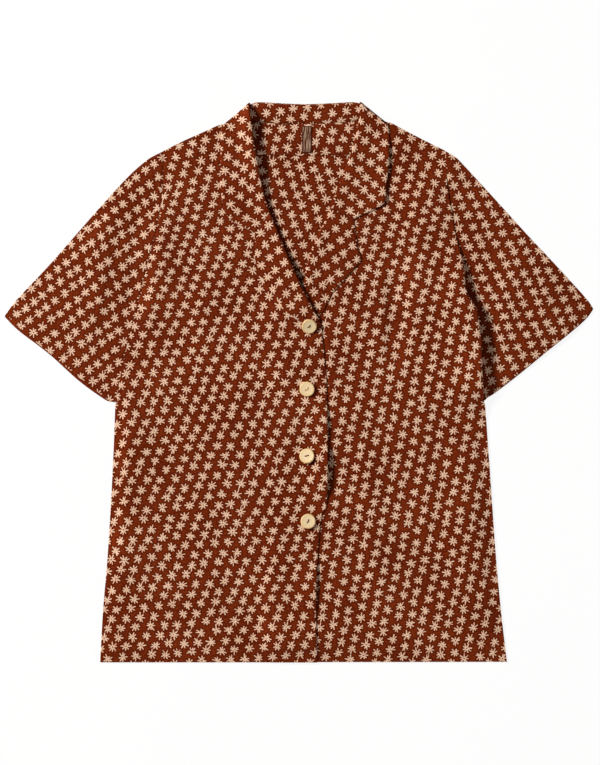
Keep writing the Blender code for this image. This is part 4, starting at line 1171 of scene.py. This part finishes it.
def woven_label():
    """Dense dark rust ribbon weave, shot with uneven grey-beige lengthwise threads."""
    look, tree, surface = new_look("woven label")
    cut = place_on_cut(tree)
    weave = placed(tree, PLAIN_WEAVE, {"Threads": LABEL_THREADS, "Cut": cut})
    x, y, _ = split(tree, cut)
    from_side = maths(tree, "SUBTRACT", LABEL_SIZE[0] / 2, maths(tree, "ABSOLUTE", x))
    from_end = maths(tree, "SUBTRACT", LABEL_SIZE[1] / 2, maths(tree, "ABSOLUTE", y))
    within = maths(tree, "GREATER_THAN", maths(tree, "MINIMUM", from_side, from_end), 0.0012)
    lengthwise = vector_maths(tree, "MULTIPLY", {0: cut, 1: (1.0, 0.07, 1.0)})
    streak = add_node(tree, "ShaderNodeTexNoise", {"Vector": lengthwise, "Scale": 900.0, "Detail": 1.0})
    shot = maths(tree, "MULTIPLY", stretched(tree, streak.outputs["Fac"], 0.47, 0.60), within)
    colour = blend_colour(tree, weave["Tone"], LABEL_RUST_DARK, LABEL_RUST_LIGHT)
    feed(tree, surface, {
        "Base Color": blend_colour(tree, maths(tree, "MULTIPLY", shot, 0.85), colour, LABEL_BEIGE),
        "Roughness": maths(tree, "MULTIPLY_ADD", weave["Tone"], 0.15, 0.55),
        "Specular IOR Level": 0.08,
        "Normal": raised(tree, maths(tree, "ADD", weave["Height"], shot), 0.4, 0.0001),
    })
    return look


label_top = NECK_SEAM_Y - 0.0022
half_width, label_y = LABEL_SIZE[0] / 2, label_top - LABEL_SIZE[1] / 2
label_corners = [
    (LABEL_MIDDLE_X + a * half_width, label_y + b * LABEL_SIZE[1] / 2)
    for a, b in ((-1, -1), (1, -1), (1, 1), (-1, 1))
]
label_outline = joined(*[spline([label_corners[i], label_corners[(i + 1) % 4]], 0.0012) for i in range(4)])


def label_thick(x, y):
    """The label's ends are turned under."""
    end = LABEL_SIZE[1] / 2 - np.abs(y - label_y)
    return 0.0005 + 0.0004 * ease((0.007 - end) / 0.001)


def label_middle(x, y):
    """Middle height of the label, which lies on the facing."""
    rest = facing_middle(x, y) + CLOTH / 2 + label_thick(x, y) / 2 + 0.0002
    return rest + ripples(x, y, 57, 0.012, 0.03, 0.00006)


def label_place(x, y):
    """Places on the label itself, from its middle."""
    return np.column_stack([x - LABEL_MIDDLE_X, y - label_y])


label = lay_panel("blouse_neck_label", label_outline, label_middle, label_thick, label_place, woven_label(),
                  cell=0.0014)
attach(label, "root")
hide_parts("neck_label")


# Buttons
#
# Four two-hole buttons of pale horn close the right front over the left. Each has a raised rim round a
# shallow dish, and is sewn on with thread, pale on the second and brown on the others. They lie tilted.

BUTTON_ACROSS = 0.018
BUTTON_THICK = 0.0032
BUTTON_SIDES = 72
HOLE_ACROSS = 0.0019
HOLES_APART = 0.0036
THREAD_RADIUS = 0.00022
LANE = 0.0003  # from one thread to the next between the holes
PALE_SEWN = 2  # the button that is sewn on with pale thread
HORN_DARK = (0.76, 0.56, 0.31, 1.0)
HORN_LIGHT = (0.90, 0.73, 0.46, 1.0)
HORN_RIM = (0.76, 0.46, 0.16, 1.0)
# Top to bottom. Columns: x, y, tilt about X and about Y in degrees, turn of the holes.
BUTTONS = [
    (0.0114, 0.0672, 22.0, 4.0, 42.0),
    (0.0090, -0.0084, 3.0, -2.0, 38.0),
    (0.0090, -0.0888, -10.0, -6.0, 12.0),
    (0.0102, -0.1668, -4.0, 3.0, 61.0),
]


def pale_horn():
    """Polished cream horn: cloudy bands, warmer towards the rim, under a thin gloss."""
    look, tree, surface = new_look("pale horn")
    place = tree.nodes.new("ShaderNodeTexCoord").outputs["Object"]
    cloud = add_node(tree, "ShaderNodeTexNoise", {
        "Vector": place, "Scale": 160.0, "Detail": 3.0, "Distortion": 1.2,
    }).outputs["Fac"]
    x, y, _ = split(tree, place)
    squared = maths(tree, "MULTIPLY_ADD", y, y, maths(tree, "MULTIPLY", x, x))
    rim = maths(tree, "POWER", maths(tree, "MULTIPLY", squared, 1.0 / (BUTTON_ACROSS / 2) ** 2), 3.0)
    colour = blend_colour(tree, cloud, HORN_DARK, HORN_LIGHT)
    feed(tree, surface, {
        "Base Color": blend_colour(tree, maths(tree, "MULTIPLY", rim, 0.9), colour, HORN_RIM),
        "Roughness": maths(tree, "MULTIPLY_ADD", cloud, 0.10, 0.26),
        "Specular IOR Level": 0.45,
        "Subsurface Weight": 0.10,
        "Subsurface Radius": (0.003, 0.002, 0.001),
        "Subsurface Scale": 1.0,
        "Normal": raised(tree, cloud, 0.15, 0.0001),
    })
    return look


def turned(name, profile, sides, look):
    """A closed turned form through the profile's radii and heights, from the lower middle to the upper."""
    points = [(0.0, 0.0, profile[0][1]), (0.0, 0.0, profile[-1][1])]
    rings = []
    for radius, height in profile[1:-1]:
        rings.append(len(points))
        points += [
            (radius * math.cos(2 * math.pi * i / sides), radius * math.sin(2 * math.pi * i / sides), height)
            for i in range(sides)
        ]
    faces = []
    for i in range(sides):
        k = (i + 1) % sides
        faces += [(0, rings[0] + k, rings[0] + i), (1, rings[-1] + i, rings[-1] + k)]
        faces += [(low + i, low + k, high + k, high + i) for low, high in zip(rings[:-1], rings[1:])]
    return place_mesh(name, points, faces, look)


def thread_look(name, dark, light):
    """Twisted sewing thread with a slight lustre."""
    look, tree, surface = new_look(name)
    place = tree.nodes.new("ShaderNodeTexCoord").outputs["Object"]
    ply = add_node(tree, "ShaderNodeTexNoise", {"Vector": place, "Scale": 2200.0}).outputs["Fac"]
    feed(tree, surface, {
        "Base Color": blend_colour(tree, ply, dark, light),
        "Roughness": maths(tree, "MULTIPLY_ADD", ply, 0.2, 0.5),
        "Specular IOR Level": 0.25,
    })
    return look


PALE_HORN = pale_horn()
THREAD = thread_look("sewing thread", (0.10, 0.014, 0.003, 1.0), (0.20, 0.034, 0.010, 1.0))
PALE_THREAD = thread_look("pale thread", (0.62, 0.36, 0.16, 1.0), (0.80, 0.56, 0.30, 1.0))


def threads(name, runs, radius, look, sides=6):
    """Short lengths of thread, each a tube with rounded ends through the points of one run."""
    points, faces = [], []
    for run in runs:
        run = np.asarray(run, float)
        along = np.gradient(run, axis=0)
        along /= np.linalg.norm(along, axis=1)[:, None]
        start = len(points)
        for i, (here, way) in enumerate(zip(run, along)):
            across = np.cross(way, (0.0, 0.0, 1.0) if abs(way[2]) < 0.9 else (1.0, 0.0, 0.0))
            across /= np.linalg.norm(across)
            other = np.cross(way, across)
            slim = 0.55 if i in (0, len(run) - 1) else 1.0
            for j in range(sides):
                a = 2 * math.pi * j / sides
                points.append(here + radius * slim * (math.cos(a) * across + math.sin(a) * other))
        for i in range(len(run) - 1):
            for j in range(sides):
                k = (j + 1) % sides
                a = start + i * sides
                faces.append((a + j, a + k, a + sides + k, a + sides + j))
        faces.append(tuple(start + j for j in range(sides))[::-1])
        faces.append(tuple(start + (len(run) - 1) * sides + j for j in range(sides)))
    return place_mesh(name, points, faces, look)


# From the middle below, round the rim and into the dish. Columns: share of the half width and the thickness.
BUTTON_SHAPE = [
    (0.0, 0.0), (0.70, 0.0), (0.86, 0.14), (0.95, 0.34), (0.99, 0.50), (1.0, 0.62), (0.985, 0.78),
    (0.95, 0.91), (0.90, 1.0), (0.84, 0.995), (0.76, 0.955), (0.66, 0.915), (0.52, 0.89), (0.36, 0.88),
    (0.0, 0.875),
]
DISH_TOP = 0.885
button_profile = [(BUTTON_ACROSS / 2 * out, BUTTON_THICK * up) for out, up in BUTTON_SHAPE]
sewing, pale_sewing = [], []
for number, (x, y, tilt_x, tilt_y, spin) in enumerate(BUTTONS, start=1):
    button = turned(f"blouse_button_{number}", button_profile, BUTTON_SIDES, PALE_HORN)
    for side in (-1, 1):
        bpy.ops.mesh.primitive_cylinder_add(vertices=24, radius=HOLE_ACROSS / 2, depth=4 * BUTTON_THICK)
        drill = bpy.context.object
        drill.location = (side * HOLES_APART / 2, 0.0, 0.0)
        drill.parent = button
        cut = button.modifiers.new("hole", "BOOLEAN")
        cut.operation = "DIFFERENCE"
        cut.object = drill
    bpy.context.view_layer.update()
    drilled = bpy.data.meshes.new_from_object(button.evaluated_get(bpy.context.evaluated_depsgraph_get()))
    for drill in list(button.children):
        bpy.data.objects.remove(drill, do_unlink=True)
    button.modifiers.clear()
    button.data = drilled
    drilled.shade_smooth()
    drilled.set_sharp_from_angle(angle=math.radians(50))
    turn = Matrix.Rotation(math.radians(tilt_x), 4, "X") @ Matrix.Rotation(math.radians(tilt_y), 4, "Y")
    turn = turn @ Matrix.Rotation(math.radians(spin), 4, "Z")
    shape = np.array([tuple(turn @ vertex.co) for vertex in drilled.vertices]) + (x, y, 0.0)
    seat = np.max(right_middle(shape[:, 0], shape[:, 1]) + HEM_THICK / 2 - shape[:, 2]) + 0.0001
    button.matrix_world = Matrix.Translation((x, y, seat)) @ turn
    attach(button, "root")
    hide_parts(f"button_{number}")
    top = BUTTON_THICK * DISH_TOP
    own_sewing, lanes = (pale_sewing, 5) if number == PALE_SEWN else (sewing, 3)
    runs = []
    for lane in range(-(lanes // 2), lanes // 2 + 1):
        side = [
            (HOLES_APART / 2 + 0.0002, lane * LANE, top - 0.0012),
            (HOLES_APART / 2 - 0.0001, lane * LANE, top),
            (HOLES_APART / 4, lane * LANE * 7 / 6, top + 0.0003),
        ]
        runs.append([(-out, across, up) for out, across, up in side] + side[::-1])
    runs += [[(side * 0.0006, 0.0, 0.0004), (0.0, 0.0, -0.0016)] for side in (-1, 1)]
    own_sewing.extend([tuple(button.matrix_world @ Vector(point)) for point in run] for run in runs)
for name, runs, look in (
    ("blouse_button_thread", sewing, THREAD), ("blouse_button_thread_pale", pale_sewing, PALE_THREAD),
):
    button_thread = threads(name, runs, THREAD_RADIUS, look, sides=8)
    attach(button_thread, "root")


# Hem and edge stitching
#
# Lockstitch in brown thread holds the turned hems of body and sleeves and runs along the facing and the
# label. Each stitch is a short rounded bar, sunk into the cloth by half or more.

STITCH = 0.0026
STITCH_GAP = 0.0006
STITCH_RADIUS = 0.00016
HEM_SEWN = 0.0015  # from the upper edge of the turned hem to its stitches
SLEEVE_HEM_SEWN = 0.0125  # from a sleeve's hem up to its stitches


def stitched(line, surface):
    """Stitches end to end along a line in plan, laid on a surface."""
    line = np.asarray(line, float)[:, :2]
    run = np.concatenate([[0.0], np.cumsum(np.linalg.norm(np.diff(line, axis=0), axis=1))])
    starts = np.arange(STITCH_GAP, run[-1] - STITCH, STITCH + STITCH_GAP)
    shares = (starts[:, None] + STITCH * np.linspace(0.0, 1.0, 4)[None, :]) / run[-1]
    plan = at(line, shares.ravel())
    z = surface(plan[:, 0], plan[:, 1]) + np.tile([-0.00012, 0.00005, 0.00005, -0.00012], len(starts))
    return np.column_stack([plan, z]).reshape(-1, 4, 3)


def over_front(middle, edge):
    """The upper face of a front."""
    thick = front_thick(edge)
    return lambda x, y: middle(x, y) + thick(x, y) / 2


hem_line = HEM_Y + HEM_DEPTH - HEM_SEWN
right_edge = free_edge_x(PLACKET_RIGHT, HEM_Y + HEM_DEPTH)
sewn = [
    stitched(spline([(start, hem_line), (end, hem_line)], 0.01), over_front(middle, edge))
    for start, end, middle, edge in (
        (-0.2380, right_edge - 0.001, right_middle, PLACKET_RIGHT),
        (0.0215, 0.2476, left_middle, PLACKET_LEFT),
    )
]
for hem, inner_point in ((SLEEVE_HEM_RIGHT, ARMHOLE_RIGHT[3]), (SLEEVE_HEM_LEFT, ARMHOLE_LEFT[4])):
    line = spline(hem, 0.01)
    inward = inner_point - line[len(line) // 2]
    line = line + SLEEVE_HEM_SEWN * inward / np.linalg.norm(inward)
    sewn.append(stitched(line[1:-1], lambda x, y: GROUND + LAYER + 0.0005 + puff(x, y)))
stitching = threads("blouse_hem_stitches", [run for part in sewn for run in part], STITCH_RADIUS, THREAD)
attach(stitching, "root")
facing_seam = [(-0.044, facing_low + 0.0022), (0.006, facing_low + 0.0006), (0.058, facing_low + 0.0022)]
inner_sewn = [stitched(spline(facing_seam, 0.01), lambda x, y: facing_middle(x, y) + CLOTH / 2)]
for end in (-1, 1):
    y = label_y + end * (LABEL_SIZE[1] / 2 - 0.0016)
    inner_sewn.append(stitched([(LABEL_MIDDLE_X - 0.0060, y), (LABEL_MIDDLE_X + 0.0060, y)],
                               lambda x, y: facing_middle(x, y) + CLOTH / 2 + 0.0008))
neck_stitches = threads("blouse_neck_stitches", [run for part in inner_sewn for run in part],
                        STITCH_RADIUS, THREAD)
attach(neck_stitches, "root")


# Surface, light and camera
#
# The blouse lies on a white table that is lit from within, so that it stays pale in the shadows. It is seen
# from straight above. A soft light stands at the upper left, a low weak one at the lower right.

FLOOR_HALF = 3.0
PIXEL = 0.0012  # what one pixel of the picture shows
PICTURE_HIGH = 765
LENS = 85.0
SENSOR = 36.0

bpy.ops.mesh.primitive_plane_add(size=2 * FLOOR_HALF, location=(0.0, 0.0, 0.0))
floor = bpy.context.object
floor.name = "floor"
white, tree, surface = new_look("white table")
spread = tree.nodes.new("ShaderNodeTexCoord").outputs["Object"]
faint = add_node(tree, "ShaderNodeTexNoise", {"Vector": spread, "Scale": 3.0}).outputs["Fac"]
feed(tree, surface, {
    "Base Color": blend_colour(tree, faint, (0.095, 0.095, 0.095, 1.0), (0.110, 0.110, 0.110, 1.0)),
    "Roughness": 0.9,
    "Specular IOR Level": 0.1,
    "Emission Color": (1.0, 1.0, 1.0, 1.0),
    "Emission Strength": 0.89,
})
floor.data.materials.append(white)

world = bpy.data.worlds.new("room")
bpy.context.scene.world = world
world.use_nodes = True
room = world.node_tree.nodes["Background"]
room.inputs["Color"].default_value = (1.0, 0.985, 0.97, 1.0)
room.inputs["Strength"].default_value = 0.17

for name, wide, high, watts, colour, place in (
    ("softbox", 1.42, 1.17, 533.0, (1.0, 0.985, 0.96), (-4.56, 2.33, 3.50)),
    ("low fill", 1.5, 1.5, 105.0, (1.0, 0.99, 0.98), (4.0, -3.2, 0.9)),
):
    light = bpy.data.lights.new(name, "AREA")
    light.shape = "RECTANGLE"
    light.size, light.size_y = wide, high
    light.energy = watts
    light.color = colour
    lamp = bpy.data.objects.new(name, light)
    bpy.context.scene.collection.objects.link(lamp)
    lamp.location = place
    lamp.rotation_euler = (-lamp.location).to_track_quat("-Z", "Y").to_euler()

eye = bpy.data.cameras.new("camera")
eye.lens = LENS
eye.sensor_width = SENSOR
camera = bpy.data.objects.new("camera", eye)
bpy.context.scene.collection.objects.link(camera)
camera.location = (0.0006, -0.0006, 0.003 + PICTURE_HIGH * PIXEL * LENS / SENSOR)
bpy.context.scene.camera = camera
bpy.context.scene.view_settings.view_transform = "Standard"
